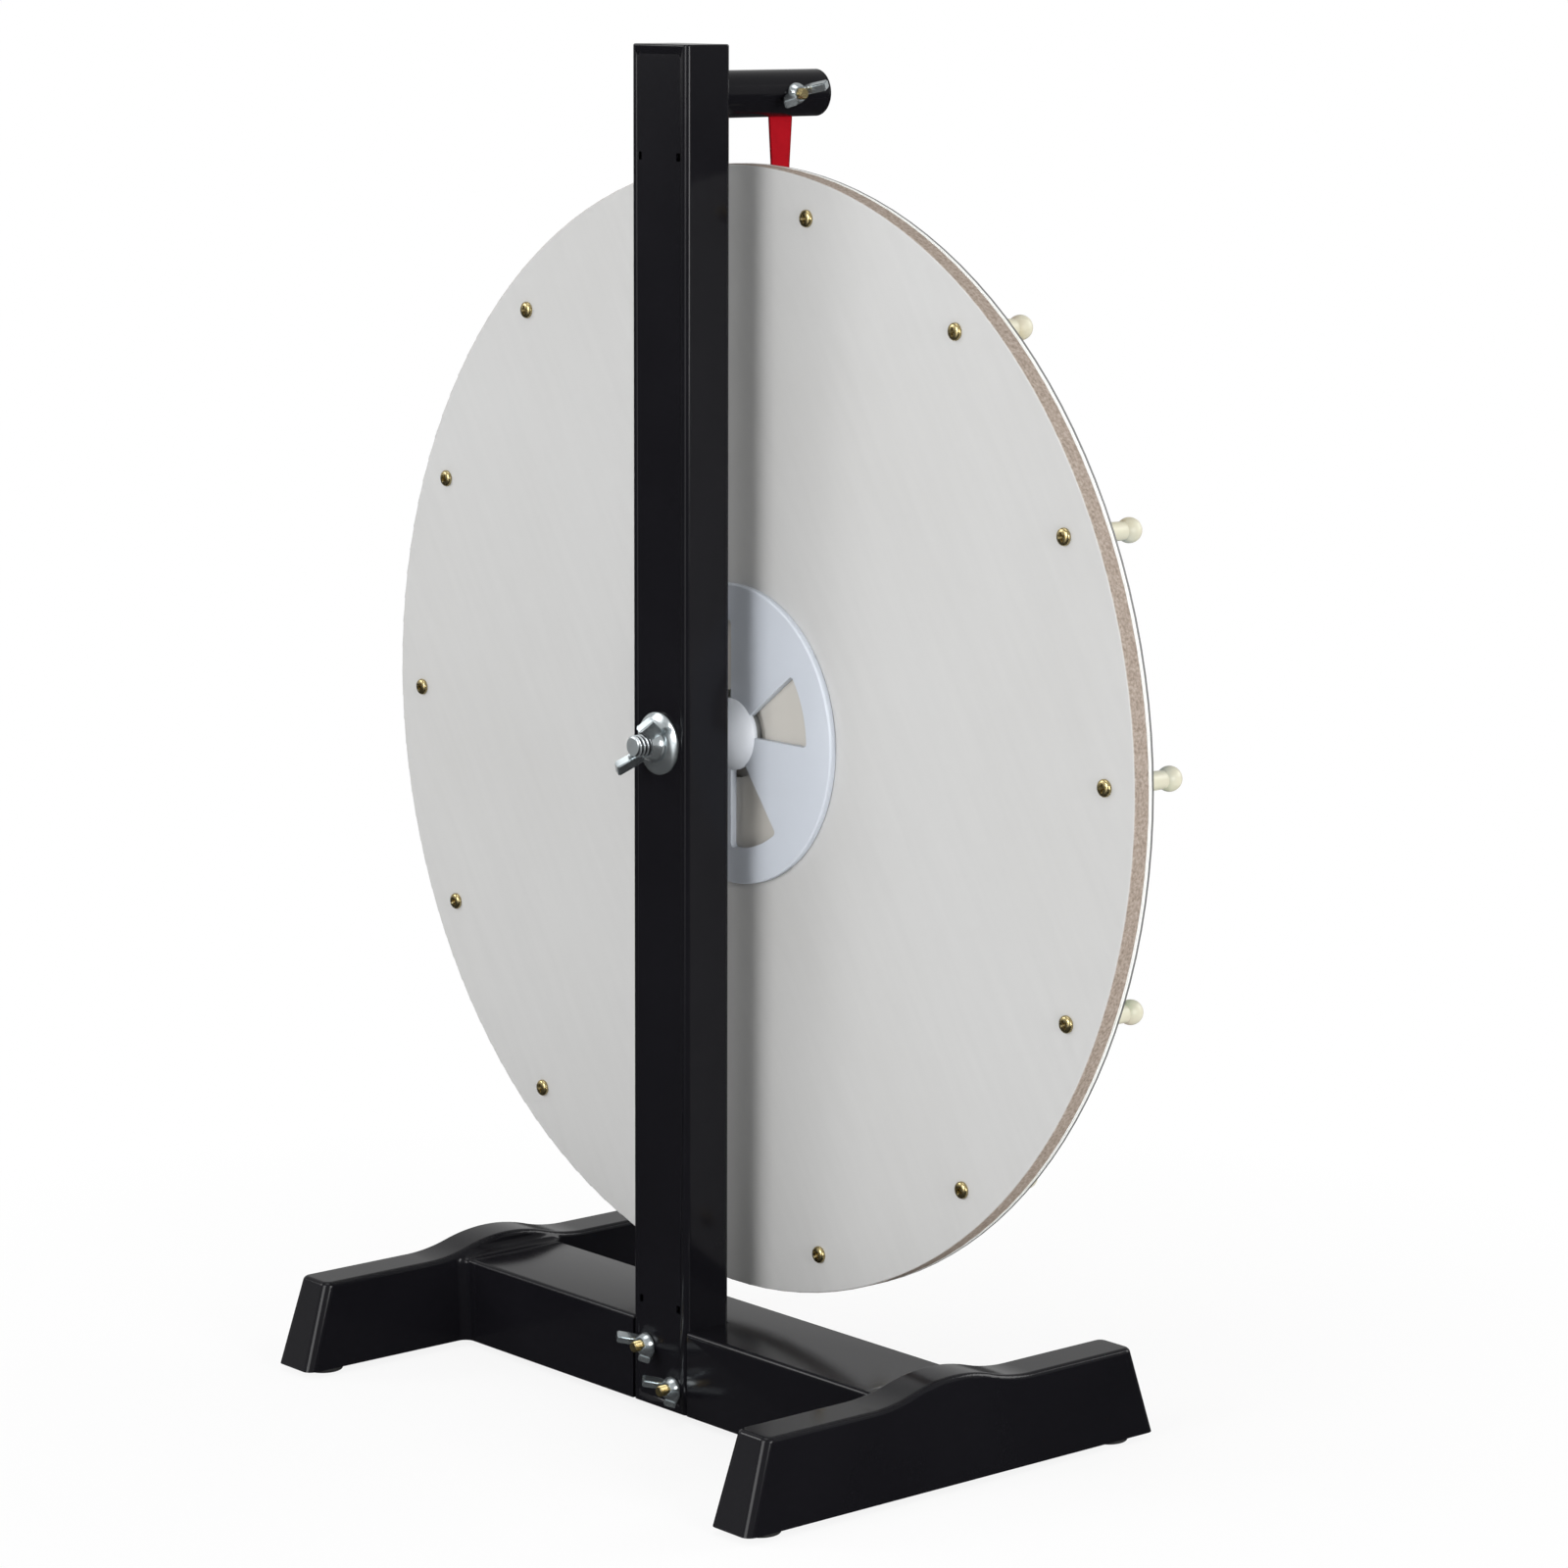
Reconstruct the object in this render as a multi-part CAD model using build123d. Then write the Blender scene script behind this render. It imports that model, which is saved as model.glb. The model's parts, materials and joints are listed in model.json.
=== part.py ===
from build123d import *

import os
from math import asin, cos, degrees, hypot, pi, radians, sin, sqrt

# Tabletop prize wheel ("game spinner"): a round board with pegs on a ball-bearing
# axle, carried by a post on an H-shaped base, with a flexible clapper on an arm.
# Millimetres. +Z is up, the wheel's playing face looks to -Y, the post stands
# behind it. The origin lies on the floor, under the middle of the base.

# ---------------------------------------------------------------- clearances
slip = 0.2              # between mouldings that slide together
bolt_gap = 0.25         # round a bolt in its hole
thread_gap = 0.02       # between a thread and its nut or pilot hole
push_gap = 0.03         # between a pushed-in ring, plug or stem and its seat
running_gap = 0.3       # between the turning wheel and what stands still beside it

# ---------------------------------------------------------------- base
pad_height = 4.0
pad_radius = 11.0
pad_edge = 1.2
pad_stem_radius = 3.0
pad_stem_length = 9.0
pad_inset = 21.0        # pad centre from the end of the foot's bottom
wall = 3.0              # wall of the foot and beam mouldings
rib = 2.0

foot_length = 286.0     # at the bottom
foot_end_lean = 15.0    # how far each end leans in at the top
foot_width = 31.0       # at the bottom
foot_side_lean = 2.8    # how far each side leans in at the height of the ends
foot_end_height = 48.5
foot_hump = 8.4         # rise of the hump over the beam
foot_hump_reach = 56.0  # half length of the hump
foot_centre_x = 189.5
foot_edge_radius = 3.0
foot_end_radius = 5.5   # upright edges at the ends
foot_rib_first = 26.0   # first rib from the middle
foot_rib_pitch = 34.0
pad_plate = 16.0        # closed bottom round the pad, from the pad's centre inwards
pad_boss_wall = 2.5

beam_depth = 65.5
beam_height = 47.0
beam_edge_radius = 2.5
collar_length = 8.0     # stub on the foot that the beam butts against
collar_fillet = 6.0
tongue_width = 44.0
tongue_height = 4.0
tongue_level = 18.0     # underside of the tongue above the foot's bottom
tongue_reach = 14.0     # past the foot's inner wall
tongue_screw_back = 6.5  # screw axis from the tongue's tip
foot_screw_radius = 1.9
foot_screw_head = 3.8
foot_screw_length = 16.0
foot_screw_pitch = 24.0
foot_screw_boss = 4.6
beam_rib_pitch = 46.5

# ---------------------------------------------------------------- post
post_width = 46.0
post_depth = 30.0
post_wall = 2.5
post_corner = 3.0
post_rib_pitch = 62.0
cover_width = 35.2
cover_thickness = 2.0
cover_corner = 3.0
cover_margin = 5.0      # cover ends short of the post's top and bottom
lip_width = 4.0         # rabbet that the cover lies on, each side
lip_thickness = 1.6
window_width = 3.4
window_height = 4.2
window_from_end = 53.0  # from the cover's end to the window's middle
snap_length = 9.0
snap_thickness = 1.4
snap_barb = 0.8

base_bolt_radius = 3.0
base_bolt_offset_x = 11.0
base_bolt_offset_z = 10.0
base_bolt_tip = 10.0    # how far the tip stands out behind the post
base_bolt_head_radius = 6.6
base_bolt_head_height = 3.2
base_bolt_neck = 6.0
bolt_boss_wall = 3.0

# ---------------------------------------------------------------- wheel
wheel_radius = 304.8    # a 24 inch wheel
wheel_above_beam = 14.2
wheel_gap = 23.75       # post's front face to the back of the board
board_thickness = 10.2
board_edge = 0.9
sheet_thickness = 0.5
sheet_inset = 0.4
glaze_thickness = 2.6   # clear cover over the face

peg_count = 14
peg_rim_margin = 20.8   # peg axis in from the board's edge
peg_phase = 101.4       # angle of the first peg from +X towards +Z, wheel at rest
peg_base_radius = 5.2
peg_neck_radius = 4.7
peg_ball_radius = 6.6
peg_reach = 31.5        # ball centre in front of the clear cover
peg_screw_radius = 2.1
peg_screw_bite = 14.0
peg_screw_head = 4.6
peg_screw_head_height = 2.6

# ---------------------------------------------------------------- hub
flange_radius = 81.5
flange_thickness = 4.0
flange_edge = 1.2
spoke_count = 4
hub_window_inner = 20.0
hub_window_outer = 62.0
hub_window_angle = 37.0
hub_window_corner = 2.5
hub_relief_radius = 24.0  # shallow recess in the board round the barrel
hub_relief_depth = 3.0
dome_radius = 19.5      # at the flange
dome_height = 11.0
dome_bearing_wall = 3.0  # rear bearing's face beyond the flange, inside the dome
barrel_radius = 17.5
barrel_seat = 8.0       # how far the rear barrel reaches into the board
front_flange_radius = 46.0
front_flange_thickness = 4.0
front_boss_radius = 20.0
front_boss_height = 9.0
boss_lip = 3.3          # front bearing's depth inside the boss
shoulder_bore = 10.0    # hole inside the front bearing's shoulder
cap_wall = 2.0
cap_height = 24.0
cap_crown = 6.0
hub_screw_circle_radius = 36.0
hub_screw_radius = 1.9
hub_screw_head = 3.7
hub_screw_head_height = 2.2
hub_screw_bite = 3.2

bearing_bore = 6.0
bearing_radius = 14.0
bearing_width = 8.0
race_inner = 8.5
race_outer = 11.5
ball_radius = 2.38
ball_count = 8
groove_gap = 0.06

axle_radius = 5.95
axle_tip = 18.3         # tip behind the post's rear face
axle_head_across = 18.0
axle_head_height = 7.5
head_washer_radius = 8.4
head_washer_thickness = 1.5
spacer_radius = 8.0
hub_spacer_radius = 8.4
sleeve_radius = 8.5
washer_radius = 16.8
washer_thickness = 2.0
washer_cup = 1.8

# ---------------------------------------------------------------- arm and clapper
arm_above_rim = 36.7    # arm's axis above the wheel's top
post_above_arm = 26.5   # post's top above the arm's axis
arm_radius = 12.5
arm_wall = 2.0
arm_tip_y = -76.0
arm_socket_behind = 10.0  # room behind the socket for its screw and the cover
arm_socket_wall = 2.5
plug_length = 12.0
plug_flange = 1.8
plug_dome = 0.8
arm_screw_radius = 2.0
arm_screw_head = 4.2
arm_screw_head_height = 2.4
arm_screw_bite = 9.0

clapper_y = -50.5
clapper_thickness = 1.7
clapper_root_width = 15.6
clapper_tip_width = 10.0
clapper_dip = 22.8      # tip below the wheel's top
clapper_bend_below = 1.2   # bending line below the arm's underside
clapper_root_top = 8.0     # root's top above the clapper bolt
clapper_bolt_radius = 3.0
clapper_bolt_tip = 7.6
clapper_bolt_head = 5.2
clapper_bolt_head_height = 3.2
bush_radius = 5.2

# wing nuts: base radius, boss height, reach of a wing, rise of a wing, thickness
axle_nut = (10.0, 6.2, 21.9, 18.4, 4.2)
base_nut = (6.6, 5.0, 15.0, 13.6, 4.2)
clapper_nut = (5.8, 4.6, 16.3, 12.6, 4.4)
axle_nut_turn = 131.0     # direction of one wing
base_nut_turn = 18.5
clapper_nut_turn = 160.0

os.makedirs("parts", exist_ok=True)

# ---------------------------------------------------------------- derived places
base_z = pad_height
beam_top = base_z + beam_height
axle_height = beam_top + wheel_above_beam + wheel_radius
rim_top = axle_height + wheel_radius
arm_height = rim_top + arm_above_rim
post_top = arm_height + post_above_arm
clapper_tip_z = rim_top - clapper_dip
peg_circle_radius = wheel_radius - peg_rim_margin
arm_socket_depth = post_depth - arm_socket_behind
rear_y = beam_depth / 2
beam_front_y = -beam_depth / 2
post_front_y = rear_y - post_depth
board_back_y = post_front_y - wheel_gap
board_front_y = board_back_y - board_thickness
sheet_front_y = board_front_y - sheet_thickness
glaze_front_y = sheet_front_y - glaze_thickness
peg_ball_y = glaze_front_y - peg_reach
arm_bottom = arm_height - arm_radius
bend_z = arm_bottom - clapper_bend_below
beam_end_x = foot_centre_x - foot_width / 2 - collar_length
bolt_centre_z = base_z + beam_height / 2 - 0.5

tongue_bottom = base_z + tongue_level
tongue_top = tongue_bottom + tongue_height
screw_x = foot_centre_x - foot_width / 2 + wall + tongue_reach - tongue_screw_back
base_bolts = [
    (base_bolt_offset_x, bolt_centre_z + base_bolt_offset_z),
    (-base_bolt_offset_x, bolt_centre_z - base_bolt_offset_z),
]
window_x = cover_width / 2 - window_width
window_levels = (base_z + cover_margin + window_from_end, post_top - cover_margin - window_from_end)
snap_windows = [(side * window_x, z) for side in (-1, 1) for z in window_levels]
rear_bearing_y = board_back_y + flange_thickness + dome_bearing_wall
front_bearing_y = glaze_front_y - front_flange_thickness - front_boss_height + boss_lip + bearing_width

peg_angles = [peg_phase + 360 / peg_count * i for i in range(peg_count)]
spoke_angle = (360 / spoke_count - hub_window_angle) / 2
hub_screw_angles = [spoke_angle + 360 / spoke_count * i for i in range(spoke_count)]
lift = (Align.CENTER, Align.CENTER, Align.MIN)


# ---------------------------------------------------------------- helpers
def along_y(x, y_start, z, radius, length):
    """A cylinder from y_start towards -Y, its axis along Y."""
    return Pos(x, y_start - length / 2, z) * (Rot(90, 0, 0) * Cylinder(radius, length))


def ring_y(x, y_start, z, radius, bore, length):
    """A tube from y_start towards -Y."""
    return along_y(x, y_start, z, radius, length) - along_y(x, y_start + 1, z, bore, length + 2)


def block(x0, x1, y0, y1, z0, z1):
    """A box given by its faces."""
    centre = Pos((x0 + x1) / 2, (y0 + y1) / 2, (z0 + z1) / 2)
    return centre * Box(x1 - x0, y1 - y0, z1 - z0)


def polar(radius, angle):
    """Place on the wheel: (x, z) at an angle from +X towards +Z."""
    turn = radians(angle)
    return radius * cos(turn), axle_height + radius * sin(turn)


def pan_head(radius, height):
    """A pan head standing on z = 0."""
    crown = height * 0.45
    head = Cylinder(radius, height, align=lift)
    return fillet(head.edges().group_by(Axis.Z)[-1], crown)


def keep(name, solids):
    """Write one node: a single solid or a group of separate ones."""
    group = list(solids) if isinstance(solids, (list, tuple)) else [solids]
    bodies = [body for item in group for body in item.solids()]
    shape = bodies[0] if len(bodies) == 1 else Compound(children=bodies)
    export_step(shape, f"parts/{name}.step")
    return shape


# ---------------------------------------------------------------- feet
def foot_outline(inset):
    """Side view of a foot, drawn in from the outside by inset."""
    slope = foot_end_lean / foot_end_height
    low = base_z - inset
    top = base_z + foot_end_height - inset
    half_low = foot_length / 2 - inset * hypot(1, slope) + slope * (base_z - low)
    half_top = half_low - slope * (top - low)
    bend = (foot_hump_reach ** 2 + foot_hump ** 2) / (4 * foot_hump)
    sweep = degrees(asin(foot_hump_reach / 2 / bend))
    with BuildSketch(Plane.YZ) as sketch:
        with BuildLine():
            rise = JernArc((-foot_hump_reach, top), (1, 0), bend, sweep)
            crest = JernArc(rise @ 1, rise % 1, bend, -2 * sweep)
            fall = JernArc(crest @ 1, crest % 1, bend, sweep)
            Polyline(
                fall @ 1, (half_top, top), (half_low, low), (-half_low, low), (-half_top, top), rise @ 0
            )
        make_face()
    return sketch.sketch


def foot_form(inset):
    """The foot's block, standing on x = 0, smaller by inset on every face but the open bottom."""
    slope = foot_side_lean / foot_end_height
    low, high = base_z - inset, base_z + foot_end_height + 2 * foot_hump
    half_low = foot_width / 2 - inset + slope * inset
    half_high = half_low - slope * (high - low)
    outline = Polyline((-half_low, low), (half_low, low), (half_high, high), (-half_high, high), close=True)
    across = extrude(Plane.XZ * make_face(outline), foot_length, both=True)
    return extrude(foot_outline(inset), foot_width, both=True) & across


def make_foot():
    """Right-hand foot: open below, with ribs, pad seats and the stub for the beam."""
    outer = foot_form(0)
    ends = foot_length / 2 - foot_end_lean
    shoulder = base_z + foot_end_height - 1
    upright = []
    for edge in outer.edges():
        middle = edge.center()
        if abs(middle.X) > 1 and abs(middle.Y) > ends and base_z + 1 < middle.Z < shoulder:
            upright.append(edge)
    outer = fillet(upright, foot_end_radius)
    corners = []
    for edge in outer.edges():
        middle = edge.center()
        across_hump = abs(middle.X) < 1 and abs(middle.Y) < ends - 1
        if middle.Z > shoulder and not across_hump:
            corners.append(edge)
    outer = fillet(corners, foot_edge_radius)
    stub_x = beam_end_x - foot_centre_x
    stub = block(stub_x, 0, -beam_depth / 2, beam_depth / 2, base_z, beam_top)
    stub = fillet(stub.edges().filter_by(Axis.X).group_by(Axis.Z)[-1], beam_edge_radius)
    outer = outer + stub
    joints = [
        edge
        for edge in outer.edges()
        if abs(abs(edge.center().Y) - beam_depth / 2) < 0.1
        and edge.length > beam_height / 2
        and stub_x + 1 < edge.center().X < 0
    ]
    outer = fillet(joints, collar_fillet)

    hollow = foot_form(wall)
    half = beam_depth / 2 - wall
    hollow = hollow + block(stub_x + wall, 0, -half, half, base_z - wall, beam_top - wall)
    foot = outer - hollow
    inside = foot_form(wall)
    reach_x = foot_width
    for side in (-1, 1):
        for step in range(3):
            y = side * (foot_rib_first + foot_rib_pitch * step)
            foot += inside & block(-reach_x, reach_x, y - rib / 2, y + rib / 2, base_z + rib, 2 * beam_top)
        pad_y = side * (foot_length / 2 - pad_inset)
        reach = sorted([pad_y - side * pad_plate, side * foot_length / 2])
        foot += inside & block(-reach_x, reach_x, *reach, base_z, base_z + wall)
        boss = Cylinder(pad_stem_radius + pad_boss_wall, pad_stem_length + rib, align=lift)
        foot += Pos(0, pad_y, base_z) * boss
        stem_hole = Cylinder(pad_stem_radius + push_gap, pad_stem_length + slip, align=lift)
        foot -= Pos(0, pad_y, base_z) * stem_hole
        post_y = side * foot_screw_pitch / 2
        column = Cylinder(foot_screw_boss, beam_top, align=lift)
        foot += inside & (Pos(screw_x - foot_centre_x, post_y, tongue_top) * column)
        pilot = Cylinder(foot_screw_radius + thread_gap, foot_screw_length, align=lift)
        foot -= Pos(screw_x - foot_centre_x, post_y, tongue_top) * pilot
    slot_y = tongue_width / 2 + slip
    foot -= block(stub_x - 1, stub_x + wall + 1, -slot_y, slot_y, tongue_bottom - slip, tongue_top + slip)
    return Pos(foot_centre_x, 0, 0) * foot


def make_pads():
    """Four rubber feet, each with a stem pushed into its seat."""
    pads = []
    for side in (-1, 1):
        for end in (-1, 1):
            disc = Cylinder(pad_radius, pad_height, align=lift)
            disc = fillet(disc.edges().group_by(Axis.Z)[0], pad_edge)
            stem = Pos(0, 0, pad_height) * Cylinder(pad_stem_radius, pad_stem_length, align=lift)
            place = Pos(side * foot_centre_x, end * (foot_length / 2 - pad_inset), 0)
            pads.append(place * (disc + stem))
    return pads


def make_foot_screws():
    """Four screws that hold the beam's tongues up against the bosses in the feet."""
    screws = []
    for side in (-1, 1):
        for end in (-1, 1):
            head = Rot(180, 0, 0) * pan_head(foot_screw_head, foot_screw_head * 0.6)
            shank = Cylinder(foot_screw_radius, foot_screw_length, align=lift)
            place = Pos(side * screw_x, end * foot_screw_pitch / 2, tongue_bottom)
            screws.append(place * (head + shank))
    return screws


# ---------------------------------------------------------------- crossbeam
def make_crossbeam():
    """Moulded beam, open below, with the rear notch for the post and a tongue at each end."""
    half_notch = post_width / 2 + slip
    notch_y = post_front_y
    beam = block(-beam_end_x, beam_end_x, beam_front_y, rear_y, base_z, beam_top)
    beam = fillet(beam.edges().filter_by(Axis.X).group_by(Axis.Z)[-1], beam_edge_radius)
    inner_x, inner_y = beam_end_x - wall, beam_depth / 2 - wall
    hollow = block(-inner_x, inner_x, -inner_y, inner_y, base_z - 1, beam_top - wall)
    hollow -= block(-half_notch - wall, half_notch + wall, notch_y - wall, rear_y, 0, beam_top)
    beam -= hollow
    beam -= block(-half_notch, half_notch, notch_y, rear_y + 1, 0, beam_top + 1)
    for side in (-1, 1):
        for step in (0, 1, 2):
            x = side * (half_notch + wall / 2 + beam_rib_pitch * step)
            beam += hollow & block(x - rib / 2, x + rib / 2, beam_front_y, rear_y, base_z + rib, beam_top)
        tip_x = foot_centre_x - foot_width / 2 + wall + tongue_reach
        ends = sorted([side * inner_x, side * tip_x])
        tongue = block(*ends, -tongue_width / 2, tongue_width / 2, tongue_bottom, tongue_top)
        for end in (-1, 1):
            hole = Cylinder(foot_screw_radius + bolt_gap, 3 * tongue_height)
            tongue -= Pos(side * screw_x, end * foot_screw_pitch / 2, tongue_bottom) * hole
        beam += tongue
    for x, z in base_bolts:
        boss = base_bolt_radius + bolt_gap + bolt_boss_wall
        beam += along_y(x, notch_y - wall / 2, z, boss, notch_y - beam_front_y - wall)
        beam -= along_y(x, notch_y + 1, z, base_bolt_radius + bolt_gap, beam_depth)
        neck = base_bolt_neck / 2 + bolt_gap
        beam -= block(x - neck, x + neck, beam_front_y - 1, beam_front_y + wall, z - neck, z + neck)
    return beam


# ---------------------------------------------------------------- post
def rounded_bar(width, corner, y0, y1, z0, z1):
    """An upright plate with rounded corners in front view, between two y faces."""
    bar = block(-width / 2, width / 2, y0, y1, z0, z1)
    return fillet(bar.edges().filter_by(Axis.Y), corner)


def make_post():
    """Channel, open at the rear for its cover, with sockets and bosses on the front wall."""
    post = block(-post_width / 2, post_width / 2, post_front_y, rear_y, base_z, post_top)
    post = fillet(post.edges().filter_by(Axis.Z), post_corner)
    post = fillet(post.edges().group_by(Axis.Z)[-1], 1.0)
    inner_x = post_width / 2 - post_wall
    inner_front = post_front_y + post_wall
    inner_rear = rear_y - cover_thickness - lip_thickness
    hollow = block(-inner_x, inner_x, inner_front, inner_rear, base_z + wall, post_top - wall)
    post -= hollow
    cover_bottom, cover_top = base_z + cover_margin, post_top - cover_margin
    mouth = cover_width - 2 * lip_width
    mouth_bottom, mouth_top = cover_bottom + lip_width, cover_top - lip_width
    post -= rounded_bar(mouth, 1.0, inner_front + post_wall, rear_y, mouth_bottom, mouth_top)
    rabbet_y = rear_y - cover_thickness
    fit = slip / 2
    post -= rounded_bar(
        cover_width + 2 * fit, cover_corner, rabbet_y, rear_y + 1, cover_bottom - fit, cover_top + fit
    )
    for x, z in snap_windows:
        post -= window_at(x, z, inner_rear - 1, rabbet_y + 1)

    z = base_z + beam_height + wall
    while z < arm_height - arm_radius - post_wall - post_rib_pitch / 3:
        if abs(z - axle_height) > sleeve_radius + 2 * post_wall:
            web_rear = inner_rear - window_height
            web = block(-inner_x, inner_x, inner_front, web_rear, z - rib / 2, z + rib / 2)
            post += web & hollow
        z += post_rib_pitch
    boss_length = rabbet_y - post_front_y
    sleeve_boss = sleeve_radius + slip / 2 + post_wall
    post += along_y(0, rabbet_y, axle_height, sleeve_boss, boss_length)
    post -= along_y(0, rear_y, axle_height, sleeve_radius + slip / 2, 2 * post_depth)
    for x, z in base_bolts:
        post += along_y(x, rabbet_y, z, base_bolt_radius + bolt_gap + bolt_boss_wall, boss_length)
        post -= along_y(x, rear_y, z, base_bolt_radius + bolt_gap, 2 * post_depth)
    socket = arm_radius + slip / 2
    floor_y = post_front_y + arm_socket_depth
    collar_depth = arm_socket_depth + post_wall
    post += along_y(0, floor_y + post_wall, arm_height, socket + arm_socket_wall, collar_depth)
    post -= along_y(0, floor_y, arm_height, socket, 2 * arm_socket_depth)
    post -= along_y(0, rear_y, arm_height, arm_screw_radius + bolt_gap, post_depth)
    return post


def window_at(x, z, y0, y1):
    """The notch at the cover's edge where a tool reaches the snap."""
    x0, x1 = sorted([x, x + (window_width + slip) * (1 if x > 0 else -1)])
    return block(x0, x1, y0, y1, z - window_height / 2, z + window_height / 2)


def make_post_cover():
    """Flat inset cover with its snaps and the holes for the bolts."""
    face_y = rear_y - cover_thickness
    cover = rounded_bar(
        cover_width, cover_corner, face_y, rear_y, base_z + cover_margin, post_top - cover_margin
    )
    edge_x = cover_width / 2 - lip_width - slip
    hook_y = face_y - lip_thickness - slip / 2
    for x, z in snap_windows:
        cover -= window_at(x, z, face_y - 1, rear_y + 1)
        side = 1 if x > 0 else -1
        with BuildSketch(Plane.XY) as sketch:
            with BuildLine():
                Polyline(
                    (side * edge_x, face_y + 0.5),
                    (side * edge_x, hook_y),
                    (side * (edge_x + snap_barb), hook_y),
                    (side * (edge_x - snap_thickness / 2), hook_y - 2 * snap_thickness),
                    (side * (edge_x - snap_thickness), hook_y - 2 * snap_thickness),
                    (side * (edge_x - snap_thickness), face_y + 0.5),
                    close=True,
                )
            make_face()
        cover += Pos(0, 0, z) * extrude(sketch.sketch, snap_length / 2, both=True)
    cover -= along_y(0, rear_y + 1, axle_height, sleeve_radius + slip / 2, post_depth)
    for x, z in base_bolts:
        cover -= along_y(x, rear_y + 1, z, base_bolt_radius + bolt_gap, post_depth)
    return cover


def make_base_bolts():
    """Two carriage bolts from the beam's front to the wing nuts behind the post."""
    bolts = []
    for x, z in base_bolts:
        length = beam_depth + base_bolt_tip
        shank = along_y(x, rear_y + base_bolt_tip, z, base_bolt_radius, length)
        shank = chamfer(shank.edges().group_by(Axis.Y)[-1], base_bolt_radius / 5)
        half = base_bolt_neck / 2
        neck = block(x - half, x + half, beam_front_y, beam_front_y + wall, z - half, z + half)
        head = domed_head(x, beam_front_y, z, base_bolt_head_radius, base_bolt_head_height)
        bolts.append(shank + neck + head)
    return bolts


def domed_head(x, y, z, radius, height):
    """A shallow domed head on a face that looks to -Y."""
    ball = (radius ** 2 + height ** 2) / (2 * height)
    half = radius / 2
    shoulder = height - ball + sqrt(ball ** 2 - half ** 2)
    with BuildSketch() as sketch:
        with BuildLine():
            ThreePointArc((radius, 0), (half, -shoulder), (0, -height))
            Polyline((0, -height), (0, 0), (radius, 0))
        make_face()
    return Pos(x, y, z) * revolve(sketch.sketch, Axis.Y)


# ---------------------------------------------------------------- wing nuts
def wing_nut(thread, sizes):
    """A forged wing nut standing on z = 0 with its wings along X."""
    base, height, reach, rise, thickness = sizes
    boss = Cone(base, base * 0.72, height, align=lift)
    with BuildSketch(Plane.XZ) as sketch:
        with BuildLine():
            Polyline(
                (0, 0.04 * rise),
                (0.44 * reach, 0.05 * rise),
                (0.66 * reach, 0.22 * rise),
                (reach, 0.72 * rise),
                (0.63 * reach, rise),
                (0.325 * reach, 0.52 * rise),
                (0.26 * reach, 0.33 * rise),
                (0, 0.33 * rise),
                close=True,
            )
        make_face()
        outer = [v for v in sketch.vertices() if abs(v.X) > 0.6 * reach]
        fillet(outer, 0.05 * reach)
    wing = extrude(sketch.sketch, thickness / 2, both=True)
    nut = boss + wing + mirror(wing, Plane.YZ)
    return nut - Cylinder(thread + thread_gap, 4 * rise)


def make_axle_nut():
    seat_y = rear_y + washer_cup + washer_thickness
    stand = Pos(0, seat_y, axle_height) * Rot(0, -axle_nut_turn, 0) * Rot(-90, 0, 0)
    return stand * wing_nut(axle_radius, axle_nut)


def make_base_nuts():
    return [
        Pos(x, rear_y, z) * Rot(0, -base_nut_turn, 0) * Rot(-90, 0, 0) * wing_nut(base_bolt_radius, base_nut)
        for x, z in base_bolts
    ]


def make_clapper_nut():
    stand = Pos(-arm_radius, clapper_y, arm_height) * Rot(clapper_nut_turn, 0, 0) * Rot(0, -90, 0)
    return stand * Rot(0, 0, 90) * wing_nut(clapper_bolt_radius, clapper_nut)


# ---------------------------------------------------------------- wheel
def drilled_disc(radius, y_start, thickness):
    """A sheet of the wheel with its centre hole and the peg and hub screw holes."""
    disc = ring_y(0, y_start, axle_height, radius, barrel_radius + slip / 2, thickness)
    drills = []
    for angle in peg_angles:
        x, z = polar(peg_circle_radius, angle)
        drills.append(along_y(x, y_start + 1, z, peg_screw_radius + bolt_gap, thickness + 2))
    for angle in hub_screw_angles:
        x, z = polar(hub_screw_circle_radius, angle)
        drills.append(along_y(x, y_start + 1, z, hub_screw_radius + bolt_gap, thickness + 2))
    return disc - drills


def make_board():
    board = drilled_disc(wheel_radius, board_back_y, board_thickness)
    board -= along_y(0, board_back_y + 1, axle_height, hub_relief_radius, hub_relief_depth + 1)
    rims = [edge for edge in board.edges() if abs(edge.length - 2 * pi * wheel_radius) < 1]
    return fillet(rims, board_edge)


def make_pegs():
    """Pegs with a tapered shank and a ball end, bored for their screws."""
    ball = peg_ball_radius
    neck_at = peg_reach - sqrt(ball ** 2 - peg_neck_radius ** 2)
    bore = peg_screw_radius + thread_gap
    with BuildSketch() as sketch:
        with BuildLine():
            shank = Polyline((bore, 0), (peg_base_radius, 0), (peg_neck_radius, neck_at))
            ThreePointArc(shank @ 1, (ball, peg_reach), (0, peg_reach + ball))
            Polyline((0, peg_reach + ball), (0, peg_screw_bite + 1), (bore, peg_screw_bite), (bore, 0))
        make_face()
    peg = Rot(180, 0, 0) * revolve(sketch.sketch, Axis.Y)
    places = [polar(peg_circle_radius, angle) for angle in peg_angles]
    return [Pos(x, glaze_front_y, z) * peg for x, z in places]


def make_peg_screws():
    """Pan-head screws through the board into the pegs."""
    grip = board_back_y - glaze_front_y
    head = pan_head(peg_screw_head, peg_screw_head_height)
    shank = Pos(0, 0, -grip - peg_screw_bite) * Cylinder(peg_screw_radius, grip + peg_screw_bite, align=lift)
    screw = Rot(-90, 0, 0) * (head + shank)
    places = [polar(peg_circle_radius, angle) for angle in peg_angles]
    return [Pos(x, board_back_y, z) * screw for x, z in places]


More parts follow.
